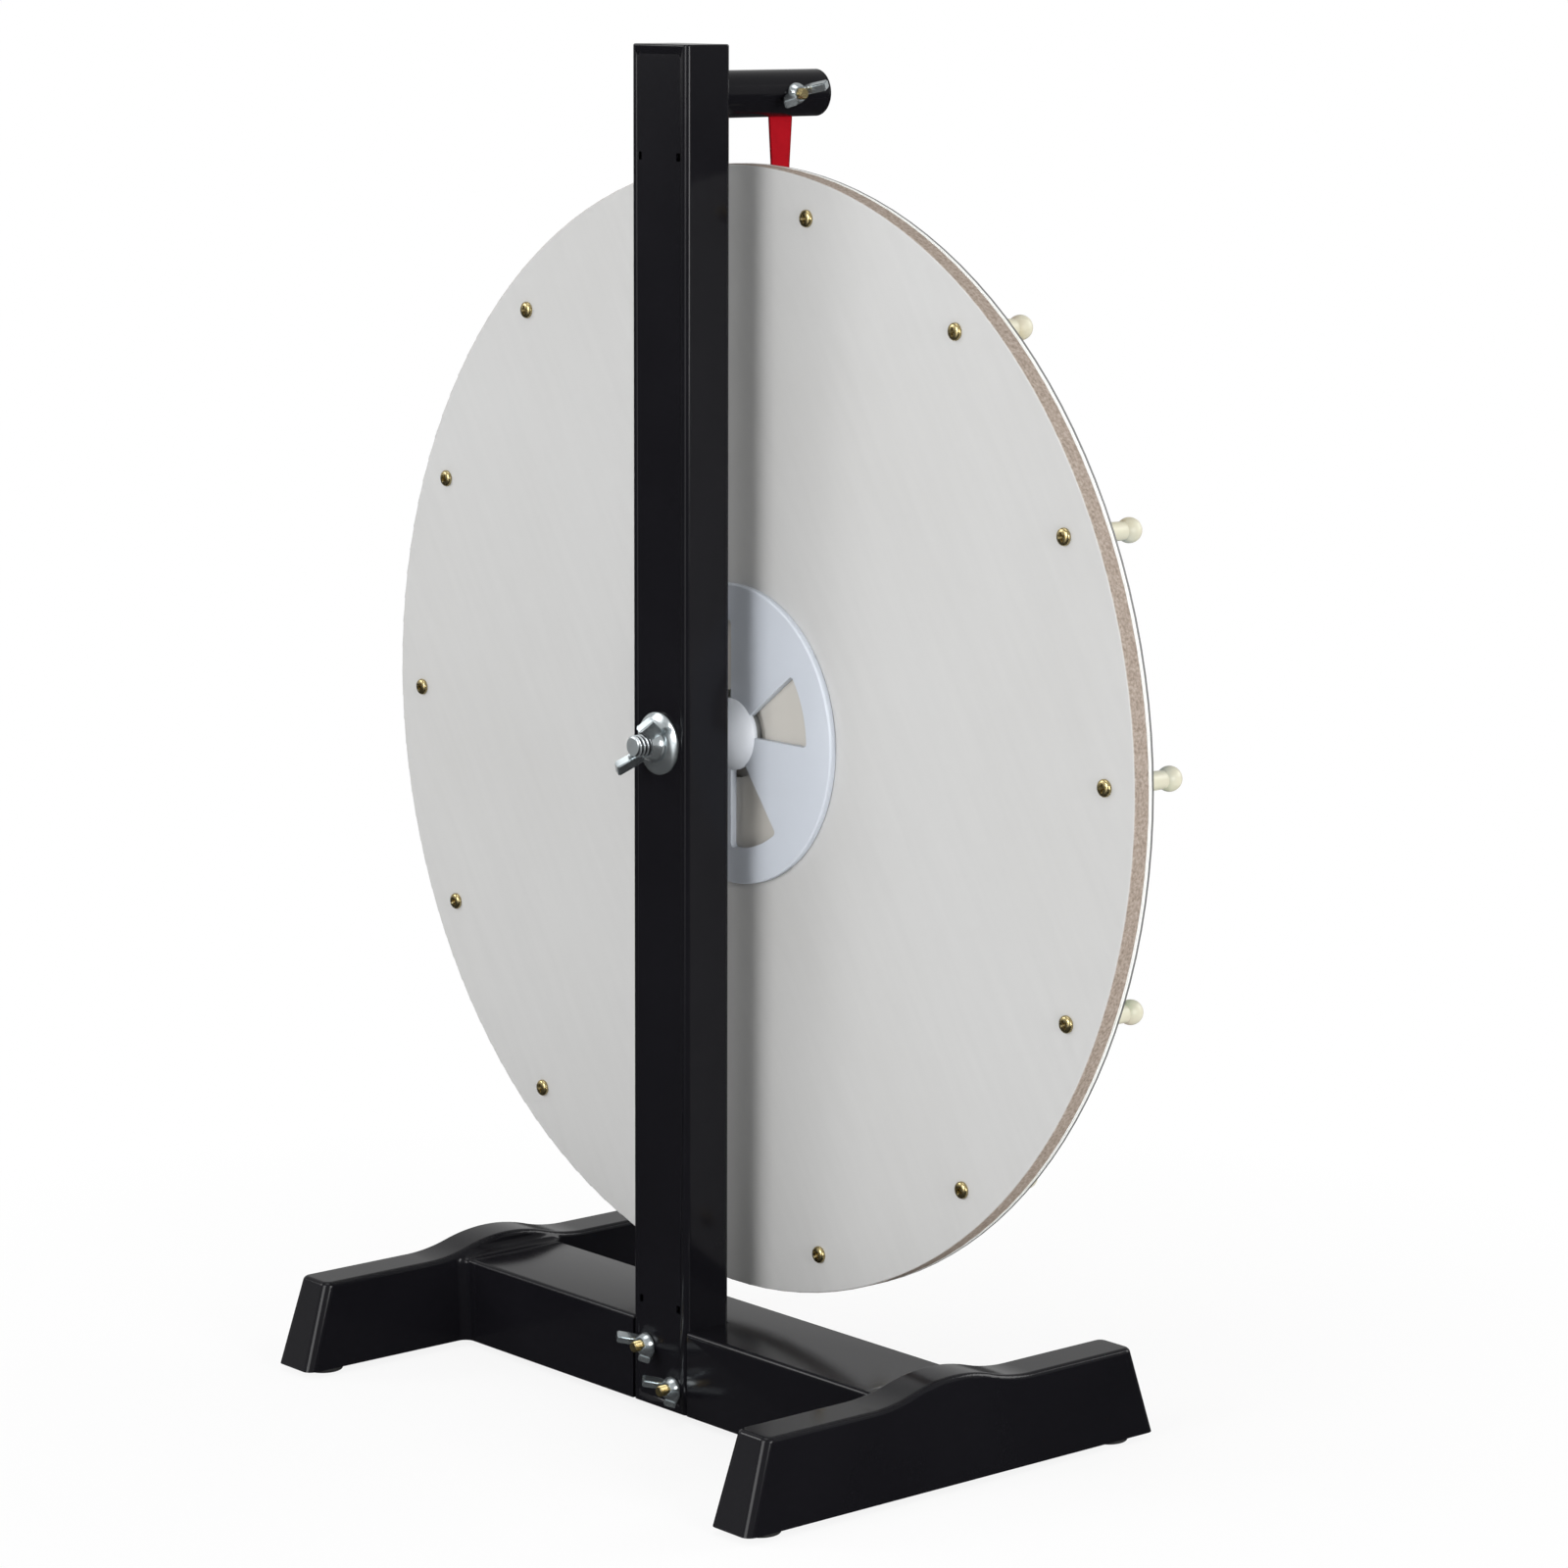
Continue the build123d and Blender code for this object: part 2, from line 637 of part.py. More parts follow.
# ---------------------------------------------------------------- hub
def hub_window():
    """Sector window with rounded corners, ending at 90 degrees."""
    inner, outer = hub_window_inner, hub_window_outer
    start, end = radians(90 - hub_window_angle), radians(90)
    middle = (start + end) / 2

    def at(radius, angle):
        return radius * cos(angle), radius * sin(angle)

    with BuildSketch(Plane.XZ) as sketch:
        with BuildLine():
            ThreePointArc(at(outer, start), at(outer, middle), at(outer, end))
            Line(at(outer, end), at(inner, end))
            ThreePointArc(at(inner, end), at(inner, middle), at(inner, start))
            Line(at(inner, start), at(outer, start))
        make_face()
        fillet([v for v in sketch.vertices() if hypot(v.X, v.Z) > outer - 1], hub_window_corner)
    return extrude(sketch.sketch, 2 * flange_thickness, both=True)


def make_rear_flange():
    """Rear hub moulding: windowed flange, domed boss and the barrel with the bearing seat."""
    back_y = board_back_y + flange_thickness
    flange = along_y(0, back_y, axle_height, flange_radius, flange_thickness)
    flange = fillet(flange.edges().group_by(Axis.Y)[-1], flange_edge)
    window = Pos(0, board_back_y, axle_height) * hub_window()
    middle = Axis((0, 0, axle_height), (0, 1, 0))
    flange -= [window.rotate(middle, 360 / spoke_count * i) for i in range(spoke_count)]
    ball = (dome_radius ** 2 + dome_height ** 2) / (2 * dome_height)
    dome = Pos(0, back_y + dome_height - ball, axle_height) * Sphere(ball)
    keep_zone = dome_radius + 1
    dome &= block(
        -keep_zone, keep_zone, back_y, back_y + dome_height, axle_height - keep_zone, axle_height + keep_zone
    )
    flange += dome
    flange += along_y(0, board_back_y, axle_height, barrel_radius, barrel_seat)
    flange -= along_y(0, rear_bearing_y, axle_height, bearing_radius + push_gap, 2 * barrel_radius)
    spacer_hole = hub_spacer_radius + 2 * running_gap
    flange -= along_y(0, back_y + 2 * dome_height, axle_height, spacer_hole, 3 * dome_height)
    for angle in hub_screw_angles:
        x, z = polar(hub_screw_circle_radius, angle)
        pilot = hub_screw_radius + thread_gap
        flange -= along_y(x, board_back_y + hub_screw_bite, z, pilot, flange_thickness)
    return flange


def make_front_flange():
    """Front hub moulding: flange, boss with the front bearing and a spigot into the board."""
    flange = along_y(0, glaze_front_y, axle_height, front_flange_radius, front_flange_thickness)
    flange = fillet(flange.edges().group_by(Axis.Y)[0], flange_edge)
    boss_depth = front_flange_thickness + front_boss_height
    flange += along_y(0, glaze_front_y, axle_height, front_boss_radius, boss_depth)
    spigot_y = board_back_y - barrel_seat - slip
    flange += along_y(0, spigot_y, axle_height, barrel_radius, spigot_y - glaze_front_y)
    flange -= along_y(0, front_bearing_y, axle_height, bearing_radius + push_gap, 2 * front_boss_height)
    flange -= along_y(0, rear_y, axle_height, shoulder_bore, 2 * beam_depth)
    for angle in hub_screw_angles:
        x, z = polar(hub_screw_circle_radius, angle)
        flange -= along_y(x, rear_y, z, hub_screw_radius + bolt_gap, 2 * beam_depth)
    return flange


def make_hub_cap():
    """Domed cap pushed over the front boss."""
    inner = front_boss_radius + slip / 2
    outer = inner + cap_wall
    seat_y = glaze_front_y - front_flange_thickness
    cap = dome_tip(outer, seat_y, cap_height, cap_crown)
    return cap - dome_tip(inner, seat_y + 1, cap_height - cap_wall + 1, cap_crown)


def dome_tip(radius, y_start, height, crown):
    """A round bar towards -Y that ends in a shallow dome."""
    ball = (radius ** 2 + crown ** 2) / (2 * crown)
    bar = along_y(0, y_start, axle_height, radius, height)
    return bar & (Pos(0, y_start - height + ball, axle_height) * Sphere(ball))


def make_hub_screws():
    """Four screws from the front flange through the board into the rear flange."""
    seat_y = glaze_front_y - front_flange_thickness
    length = board_back_y + hub_screw_bite - seat_y - slip
    head = pan_head(hub_screw_head, hub_screw_head_height)
    shank = Pos(0, 0, -length) * Cylinder(hub_screw_radius, length, align=lift)
    screw = Rot(90, 0, 0) * (head + shank)
    places = [polar(hub_screw_circle_radius, angle) for angle in hub_screw_angles]
    return [Pos(x, seat_y, z) * screw for x, z in places]


# ---------------------------------------------------------------- axle and bearings
def groove(y):
    """Ball track of a bearing whose middle is at y."""
    track = (race_inner + race_outer) / 2
    ring = Rot(90, 0, 0) * Torus(track, ball_radius + groove_gap)
    return Pos(0, y, axle_height) * ring


def make_bearings():
    """Inner rings, outer rings and balls of the two deep-groove bearings."""
    inner, outer, balls = [], [], []
    track = (race_inner + race_outer) / 2
    for start in (rear_bearing_y, front_bearing_y):
        middle = start - bearing_width / 2
        inner_ring = ring_y(0, start, axle_height, race_inner, bearing_bore, bearing_width)
        outer_ring = ring_y(0, start, axle_height, bearing_radius, race_outer, bearing_width)
        inner.append(inner_ring - groove(middle))
        outer.append(outer_ring - groove(middle))
        for i in range(ball_count):
            x, z = polar(track, 360 / ball_count * i)
            balls.append(Pos(x, middle, z) * Sphere(ball_radius))
    return inner, outer, balls


def make_axle_bolt():
    """Hexagon bolt from the front bearing out through the post."""
    head_y = front_bearing_y - bearing_width - head_washer_thickness
    shank = along_y(0, rear_y + axle_tip, axle_height, axle_radius, rear_y + axle_tip - head_y)
    shank = chamfer(shank.edges().group_by(Axis.Y)[-1], axle_radius / 6)
    hexagon = RegularPolygon(axle_head_across / 2, 6, major_radius=False)
    head = Pos(0, head_y, axle_height) * (Rot(90, 0, 0) * extrude(hexagon, axle_head_height))
    return shank + head


def make_cup_washer():
    """Large washer behind the post, dished towards its rim."""
    land = axle_nut[0] + 1
    bore = axle_radius + bolt_gap
    outline = [
        (bore, washer_cup),
        (land, washer_cup),
        (washer_radius, 0),
        (washer_radius, washer_thickness * 0.8),
        (land, washer_cup + washer_thickness),
        (bore, washer_cup + washer_thickness),
    ]
    face = make_face(Polyline(*outline, close=True))
    return Pos(0, rear_y, axle_height) * revolve(face, Axis.Y)


# ---------------------------------------------------------------- arm and clapper
def make_arm():
    """Tube with the slot for the clapper and the clapper bolt's holes."""
    start_y = post_front_y + arm_socket_depth
    length = start_y - arm_tip_y - plug_flange
    arm = ring_y(0, start_y, arm_height, arm_radius, arm_radius - arm_wall, length)
    half_x = clapper_thickness / 2 + slip
    half_y = clapper_root_width / 2 + slip
    slot_top = arm_height - arm_radius / 2
    arm -= block(-half_x, half_x, clapper_y - half_y, clapper_y + half_y, arm_bottom - 1, slot_top)
    hole = Rot(0, 90, 0) * Cylinder(clapper_bolt_radius + bolt_gap, 3 * arm_radius)
    return arm - Pos(0, clapper_y, arm_height) * hole


def make_end_plug():
    """Plug that closes the arm's front end."""
    seat_y = arm_tip_y + plug_flange
    plug = along_y(0, seat_y, arm_height, arm_radius, plug_flange)
    plug = fillet(plug.edges().group_by(Axis.Y)[0], plug_dome)
    return plug + along_y(0, seat_y + plug_length, arm_height, arm_radius - arm_wall - push_gap, plug_length)


def make_root_plug():
    """Plug in the arm's rear end that takes the arm screw."""
    floor_y = post_front_y + arm_socket_depth
    plug = along_y(0, floor_y, arm_height, arm_radius - arm_wall - push_gap, plug_length)
    return plug - along_y(0, floor_y + 1, arm_height, arm_screw_radius + thread_gap, arm_screw_bite + 1)


def make_arm_screw():
    floor_y = post_front_y + arm_socket_depth
    seat_y = floor_y + post_wall
    head = Rot(-90, 0, 0) * pan_head(arm_screw_head, arm_screw_head_height)
    length = post_wall + arm_screw_bite - slip
    return Pos(0, seat_y, arm_height) * head + along_y(0, seat_y, arm_height, arm_screw_radius, length)


def make_clapper_root():
    """The end of the strip that the bolt clamps inside the arm."""
    half_x, half_y = clapper_thickness / 2, clapper_root_width / 2
    low = bend_z + half_x + running_gap
    root = block(-half_x, half_x, clapper_y - half_y, clapper_y + half_y, low, arm_height + clapper_root_top)
    root = chamfer(root.edges().filter_by(Axis.X).group_by(Axis.Z)[-1], 3 * clapper_thickness)
    hole = Rot(0, 90, 0) * Cylinder(clapper_bolt_radius + bolt_gap, 3 * arm_radius)
    return root - Pos(0, clapper_y, arm_height) * hole


def make_clapper_strip():
    """The free strip: tapered, round at the tip and at the line where it bends."""
    tip = clapper_tip_width / 2
    half = clapper_root_width / 2
    with BuildSketch(Plane.YZ) as sketch:
        with BuildLine():
            Polyline(
                (clapper_y - tip, clapper_tip_z + tip),
                (clapper_y - half, bend_z),
                (clapper_y + half, bend_z),
                (clapper_y + tip, clapper_tip_z + tip),
            )
            ThreePointArc(
                (clapper_y + tip, clapper_tip_z + tip),
                (clapper_y, clapper_tip_z),
                (clapper_y - tip, clapper_tip_z + tip),
            )
        make_face()
    strip = extrude(sketch.sketch, clapper_thickness / 2, both=True)
    return strip + along_y(0, clapper_y + half, bend_z, clapper_thickness / 2, clapper_root_width)


def make_bushes():
    """Two bushes that hold the strip in the middle of the tube."""
    inside = along_y(0, clapper_y + 2 * arm_radius, arm_height, arm_radius - arm_wall, 4 * arm_radius)
    bushes = []
    for side in (-1, 1):
        tube = Cylinder(bush_radius, arm_radius, align=lift)
        tube -= Cylinder(clapper_bolt_radius + bolt_gap / 2, 3 * arm_radius)
        start = side * clapper_thickness / 2
        bushes.append((Pos(start, clapper_y, arm_height) * (Rot(0, side * 90, 0) * tube)) & inside)
    return bushes


def make_clapper_bolt():
    length = 2 * arm_radius + clapper_bolt_tip
    shank = Cylinder(clapper_bolt_radius, length, align=lift)
    shank = chamfer(shank.edges().group_by(Axis.Z)[-1], clapper_bolt_radius / 5)
    head = Rot(180, 0, 0) * pan_head(clapper_bolt_head, clapper_bolt_head_height)
    return Pos(arm_radius, clapper_y, arm_height) * (Rot(0, -90, 0) * (shank + head))


# ---------------------------------------------------------------- write every piece
right_foot = make_foot()
keep("foot_right", right_foot)
keep("foot_left", mirror(right_foot, Plane.YZ))
keep("foot_pads", make_pads())
keep("foot_screws", make_foot_screws())
keep("crossbeam", make_crossbeam())
keep("base_bolts", make_base_bolts())
keep("base_wing_nuts", make_base_nuts())
keep("post_channel", make_post())
keep("post_rear_cover", make_post_cover())

keep("wheel_board", make_board())
keep("face_sheet", drilled_disc(wheel_radius - sheet_inset, board_front_y, sheet_thickness))
keep("clear_cover", drilled_disc(wheel_radius, sheet_front_y, glaze_thickness))
keep("wheel_pegs", make_pegs())
keep("peg_screws", make_peg_screws())
keep("hub_flange_rear", make_rear_flange())
keep("hub_flange_front", make_front_flange())
keep("hub_cap", make_hub_cap())
keep("hub_screws", make_hub_screws())

inner_rings, outer_rings, balls = make_bearings()
keep("bearing_inner_rings", inner_rings)
keep("bearing_outer_rings", outer_rings)
keep("bearing_balls", balls)
inner_gap_y = rear_bearing_y - bearing_width
spacer_length = inner_gap_y - front_bearing_y
keep("bearing_spacer", ring_y(0, inner_gap_y, axle_height, spacer_radius, bearing_bore, spacer_length))
hub_gap = post_front_y - rear_bearing_y
keep("hub_spacer", ring_y(0, post_front_y, axle_height, hub_spacer_radius, bearing_bore, hub_gap))
keep("axle_sleeve", ring_y(0, rear_y, axle_height, sleeve_radius, bearing_bore, post_depth))
washer_y = front_bearing_y - bearing_width
head_washer = ring_y(0, washer_y, axle_height, head_washer_radius, bearing_bore, head_washer_thickness)
keep("axle_head_washer", head_washer)
keep("axle_bolt", make_axle_bolt())
keep("axle_washer", make_cup_washer())
keep("axle_wing_nut", make_axle_nut())

keep("pointer_arm", make_arm())
keep("arm_end_plug", make_end_plug())
keep("arm_root_plug", make_root_plug())
keep("arm_screw", make_arm_screw())
keep("clapper_root", make_clapper_root())
keep("clapper_strip", make_clapper_strip())
keep("clapper_bushes", make_bushes())
keep("clapper_bolt", make_clapper_bolt())
keep("clapper_wing_nut", make_clapper_nut())
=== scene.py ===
import json
import math

import bmesh
import bpy
from mathutils import Matrix, Vector


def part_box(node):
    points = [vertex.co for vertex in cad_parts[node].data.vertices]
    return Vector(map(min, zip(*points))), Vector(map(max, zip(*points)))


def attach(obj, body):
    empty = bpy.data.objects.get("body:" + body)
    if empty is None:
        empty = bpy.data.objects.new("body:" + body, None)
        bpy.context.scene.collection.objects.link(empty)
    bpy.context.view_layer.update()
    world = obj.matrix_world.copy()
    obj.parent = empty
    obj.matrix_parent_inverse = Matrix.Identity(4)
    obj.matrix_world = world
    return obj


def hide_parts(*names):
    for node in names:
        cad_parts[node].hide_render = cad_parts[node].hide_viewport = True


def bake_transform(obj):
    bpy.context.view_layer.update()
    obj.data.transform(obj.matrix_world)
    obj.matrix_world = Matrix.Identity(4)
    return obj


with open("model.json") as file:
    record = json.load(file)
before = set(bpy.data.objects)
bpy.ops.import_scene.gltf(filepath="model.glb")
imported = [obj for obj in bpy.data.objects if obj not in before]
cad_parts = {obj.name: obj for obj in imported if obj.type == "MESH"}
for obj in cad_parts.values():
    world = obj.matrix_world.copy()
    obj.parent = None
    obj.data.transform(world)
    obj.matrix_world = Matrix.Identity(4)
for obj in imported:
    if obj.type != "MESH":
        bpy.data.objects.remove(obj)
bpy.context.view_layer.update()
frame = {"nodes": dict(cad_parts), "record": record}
nodes = frame["nodes"]
MM = 0.001

# ---------------------------------------------------------------- sizes, in metres
axle = Vector((0.0, 0.0, 0.370))
wheel_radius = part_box("wheel_board")[1].x
board_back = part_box("wheel_board")[1].y
cover_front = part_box("clear_cover")[0].y
post_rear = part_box("post_channel")[1].y
peg_circle = 0.284
peg_count = 14
peg_first = math.radians(101.4)
arm_height = 0.7115
clapper_y = -0.0505
base_bolt_places = [(0.011, 0.037), (-0.011, 0.017)]
small_bolt_radius = 0.003
axle_thread_radius = 0.00594
small_nut_bore = 0.00302  # the nuts' bores are radii too, each a hair wider than its bolt
axle_nut_bore = 0.00597
thread_fade = 1 / 1400  # depth over which the painted shade in the thread roots fades in
hub_thickness = 0.004
hub_dome_radius = 0.0195
hub_dome_skirt = 0.0023  # the dome's rim reaches this far down from the plate's face
hub_barrel_radius = 0.0175


# ---------------------------------------------------------------- shader maths
class Value:
    """A number socket that Python's operators can work with."""

    def __init__(self, net, socket):
        self.net = net
        self.socket = socket

    def _math(self, kind, *terms):
        node = self.net.add("ShaderNodeMath", {"operation": kind}, dict(enumerate(terms)))
        return Value(self.net, node.outputs[0])

    def __add__(self, other):
        return self._math("ADD", self, other)

    def __sub__(self, other):
        return self._math("SUBTRACT", self, other)

    def __rsub__(self, other):
        return self._math("SUBTRACT", other, self)

    def __mul__(self, other):
        return self._math("MULTIPLY", self, other)

    def above(self, limit):
        return self._math("GREATER_THAN", self, limit)

    def root(self):
        return self._math("SQRT", self)

    def angle_from(self, other):
        return self._math("ARCTAN2", self, other)

    def larger(self, other):
        return self._math("MAXIMUM", self, other)

    def size(self):
        return self._math("ABSOLUTE", self)

    def clamped(self):
        return self._math("MINIMUM", self._math("MAXIMUM", self, 0.0), 1.0)

    def wrap(self, length):
        return self._math("FLOORED_MODULO", self, length)


class Finish:
    """One procedural material, built round a Principled shader."""

    def __init__(self, name, base, roughness, **constants):
        self.material = bpy.data.materials.new(name)
        self.material.use_nodes = True
        self.tree = self.material.node_tree
        self.shader = self.tree.nodes["Principled BSDF"]
        self.shader.inputs["Base Color"].default_value = (*base, 1)
        self.shader.inputs["Roughness"].default_value = roughness
        for socket, amount in constants.items():
            self.shader.inputs[socket.replace("_", " ")].default_value = amount

    def add(self, kind, settings=None, sockets=None):
        """A node of any type: its settings first, then values or links for its sockets."""
        node = self.tree.nodes.new(kind)
        for key, setting in (settings or {}).items():
            if key == "stops":
                self._ramp(node, setting)
            else:
                setattr(node, key, setting)
        for key, given in (sockets or {}).items():
            if isinstance(given, Value):
                given = given.socket
            if isinstance(given, bpy.types.NodeSocket):
                self.tree.links.new(given, node.inputs[key])
            else:
                node.inputs[key].default_value = given
        return node

    def _ramp(self, node, stops):
        elements = node.color_ramp.elements
        while len(elements) < len(stops):
            elements.new(0.5)
        for element, (place, colour) in zip(elements, stops):
            element.position = place
            element.color = (*colour, 1)

    def place(self):
        """Object coordinates as three numbers."""
        spot = self.add("ShaderNodeTexCoord").outputs["Object"]
        split = self.add("ShaderNodeSeparateXYZ", None, {0: spot})
        return spot, [Value(self, out) for out in split.outputs]

    def noise(self, spot, scale, detail=4.0, stretch=(1, 1, 1), turn=(0, 0, 0)):
        """Noise from 0 to 1: turned first, then squeezed along each axis by stretch."""
        turned = self.add(
            "ShaderNodeMapping",
            {"vector_type": "TEXTURE"},
            {"Vector": spot, "Scale": tuple(1 / s for s in stretch), "Rotation": turn},
        )
        sockets = {"Vector": turned.outputs[0], "Scale": scale, "Detail": detail}
        return Value(self, self.add("ShaderNodeTexNoise", None, sockets).outputs[0])

    def mix(self, mask, low, high):
        """Colour low where mask is 0 and high where it is 1."""
        node = self.add("ShaderNodeMix", {"data_type": "RGBA"}, {0: mask})
        for index, colour in ((6, low), (7, high)):
            if isinstance(colour, bpy.types.NodeSocket):
                self.tree.links.new(colour, node.inputs[index])
            else:
                node.inputs[index].default_value = (*colour, 1)
        return node.outputs[2]

    def feed(self, socket, source):
        if isinstance(source, Value):
            source = source.socket
        self.tree.links.new(source, self.shader.inputs[socket])

    def bump(self, height, depth, strength):
        node = self.add(
            "ShaderNodeBump", None, {"Height": height, "Distance": depth, "Strength": strength}
        )
        self.feed("Normal", node.outputs[0])


# ---------------------------------------------------------------- finishes
def from_axle(x, z):
    """Distance from the axle's line, and the angle round it from +X towards +Z."""
    up = z - axle.z
    return (x * x + up * up).root(), up.angle_from(x)


def moulded_plastic(name, base, roughness, grain=0.00003, tint=0.25, **constants):
    """Moulded plastic: faint flow in the gloss, a fine skin and a small change of colour."""
    finish = Finish(name, base, roughness, **constants)
    spot, _ = finish.place()
    cloud = finish.noise(spot, 14, 5)
    skin = finish.noise(spot, 900, 3)
    finish.feed("Roughness", cloud * (roughness * 0.7) + roughness * 0.65)
    darker = tuple(c * (1 - tint) for c in base)
    finish.feed("Base Color", finish.mix(cloud, darker, tuple(min(c * (1 + tint), 1) for c in base)))
    finish.bump(skin, grain, 0.35)
    return finish.material


def hub_plastic():
    """The hub's satin white, with painted light on the dome, painted paler, and painted shade in dull
    grey down round the barrel.
    """
    finish = Finish("hub_satin", (0.53, 0.565, 0.62), 0.42)
    spot, (x, y, z) = finish.place()
    radius, _ = from_axle(x, z)
    off_dome = radius.above(hub_dome_radius + 0.0001)
    under_dome = board_back + hub_thickness - hub_dome_skirt
    # Painted shade: near the barrel and below the dome's rim the colour turns dull grey.
    painted_gap_shade = (1 - radius.above(hub_barrel_radius + 0.0007)) * (1 - y.above(under_dome))
    cloud = finish.noise(spot, 14, 5)
    plate = finish.mix(cloud, (0.514, 0.548, 0.6), (0.546, 0.582, 0.64))
    # Painted light: the dome is coloured paler than the plate, as if lit where the post shades it.
    dome_painted_pale_or_plate = finish.mix(off_dome, (0.66, 0.69, 0.735), plate)
    finish.feed("Base Color", finish.mix(painted_gap_shade, dome_painted_pale_or_plate, (0.3, 0.31, 0.31)))
    finish.feed("Roughness", cloud * 0.29 + 0.27)
    finish.bump(finish.noise(spot, 900, 3), 0.00002, 0.35)
    return finish.material


def plated_steel(name, base, patina, roughness, metal=1.0):
    """Zinc plating: cloudy, with fine scratches and a duller patina in patches."""
    finish = Finish(name, base, roughness, Metallic=metal)
    spot, _ = finish.place()
    cloud = finish.noise(spot, 130, 3)
    scratch = finish.noise(spot, 1400, 2, (1, 0.2, 1))
    finish.feed("Base Color", finish.mix(cloud, patina, base))
    finish.feed("Roughness", scratch * 0.08 + cloud * 0.1 + (roughness - 0.08))
    finish.bump(scratch, 0.000008, 0.3)
    return finish.material


def bolt_thread(tip):
    """Zinc on the axle bolt, with painted shade darkening the roots of its thread."""
    finish = Finish("zinc_thread", (0.6, 0.64, 0.66), 0.36, Metallic=0.86)
    spot, (x, y, z) = finish.place()
    radius, _ = from_axle(x, z)
    # Painted shade: below the crests the thread's roots are coloured nearly black, except close to the
    # tip.
    depth = ((axle_thread_radius - 0.00014 - radius) * (1 / thread_fade)).clamped()
    root = depth * (1 - y.above(tip - 0.0006))
    cloud = finish.noise(spot, 130, 3)
    plate = finish.mix(cloud, (0.5, 0.545, 0.56), (0.62, 0.66, 0.68))
    finish.feed("Base Color", finish.mix(root, plate, (0.07, 0.075, 0.08)))
    finish.feed("Roughness", cloud * 0.1 + root * 0.2 + 0.3)
    return finish.material


def laminated_board():
    """Grey-white paper skin on the board's back, with painted warm shade on it near the hub, and brown
    pressed fibre on its rim.
    """
    finish = Finish("laminated_board", (0.6, 0.59, 0.57), 0.55)
    spot, (x, _, z) = finish.place()
    radius, _ = from_axle(x, z)
    on_rim = ((radius - (wheel_radius - 0.0005)) * 2500).clamped()
    weave = finish.noise(spot, 150, 2, (0.08, 1, 1), (0, math.radians(-58), 0))
    blotch = finish.noise(spot, 5, 5)
    fibre = ((finish.noise(spot, 620, 3) - 0.5) * 2.2 + 0.5).clamped()
    paper = finish.mix(blotch, (0.45, 0.446, 0.436), (0.51, 0.514, 0.514))
    paper = finish.mix(weave * 0.42, paper, (0.56, 0.558, 0.55))
    # Painted shade: within 70 mm of the axle the paper is coloured warmer and darker, as warm shade.
    painted_shade_behind_hub = 1 - radius.above(0.07)
    paper = finish.mix(painted_shade_behind_hub, paper, (0.545, 0.525, 0.485))
    core = finish.mix(fibre, (0.2, 0.152, 0.115), (0.42, 0.352, 0.3))
    finish.feed("Base Color", finish.mix(on_rim, paper, core))
    finish.feed("Roughness", weave * 0.1 + on_rim * 0.25 + 0.42)
    finish.bump(weave * 0.3 + fibre * on_rim, 0.00012, 0.4)
    return finish.material


def segmented_face():
    """Plain coloured segments, one between each pair of pegs, with a pale line at each joint."""
    finish = Finish("segmented_face", (0.8, 0.8, 0.78), 0.35)
    spot, (x, _, z) = finish.place()
    radius, angle = from_axle(x, z)
    share = 1 / peg_count
    turn = ((angle - peg_first) * (1 / math.tau)).wrap(1.0)
    repeated = [(0.72, 0.07, 0.06), (0.85, 0.55, 0.05), (0.05, 0.3, 0.62), (0.06, 0.42, 0.16)]
    tints = [repeated[i % 4] for i in range(peg_count - 2)] + [(0.4, 0.1, 0.42), (0.83, 0.83, 0.8)]
    stops = [(i * share, tint) for i, tint in enumerate(tints)]
    middle = turn - turn.wrap(share) + share / 2
    ramp = finish.add("ShaderNodeValToRGB", {"stops": stops}, {0: middle})
    ramp.color_ramp.interpolation = "CONSTANT"
    edge = ((turn * peg_count + 0.5).wrap(1.0) - 0.5).size()
    line = 1 - (edge * radius).above(0.0022)
    ink = finish.noise(spot, 60, 3)
    border = radius.above(wheel_radius - 0.004)
    colour = finish.mix(line.larger(border), ramp.outputs[0], (0.86, 0.86, 0.84))
    finish.feed("Base Color", colour)
    finish.feed("Roughness", ink * 0.1 + 0.3)
    return finish.material


def clear_sheet():
    """Clear cover: nearly invisible on its face; its cut edge is pale, with a painted dark reflection
    along its front corner.
    """
    finish = Finish("clear_sheet", (0.86, 0.87, 0.84), 0.08, IOR=1.49)
    spot, (x, y, z) = finish.place()
    radius, _ = from_axle(x, z)
    rim = radius.above(wheel_radius - 0.0004)
    # Painted reflection: within 1.4 mm of its front the sheet is coloured near black, a dark line on
    # the pale cut edge.
    front = 1 - y.above(cover_front + 0.0014)
    scuff = finish.noise(spot, 40, 4)
    finish.feed("Base Color", finish.mix(front, (0.86, 0.87, 0.84), (0.12, 0.12, 0.12)))
    finish.feed("Roughness", scuff * 0.1 + rim * 0.2 + 0.05)
    finish.feed("Alpha", rim * 0.8 + 0.1)
    return finish.material


def soft_strip():
    """Dull red rubber, faintly mottled."""
    finish = Finish("soft_strip", (0.35, 0.004, 0.01), 0.6, Specular_IOR_Level=0.03)
    spot, _ = finish.place()
    mottle = finish.noise(spot, 160, 4)
    finish.feed("Base Color", finish.mix(mottle, (0.3, 0.0035, 0.009), (0.4, 0.005, 0.012)))
    finish.feed("Roughness", mottle * 0.18 + 0.5)
    finish.bump(finish.noise(spot, 1400, 2), 0.00004, 0.3)
    return finish.material


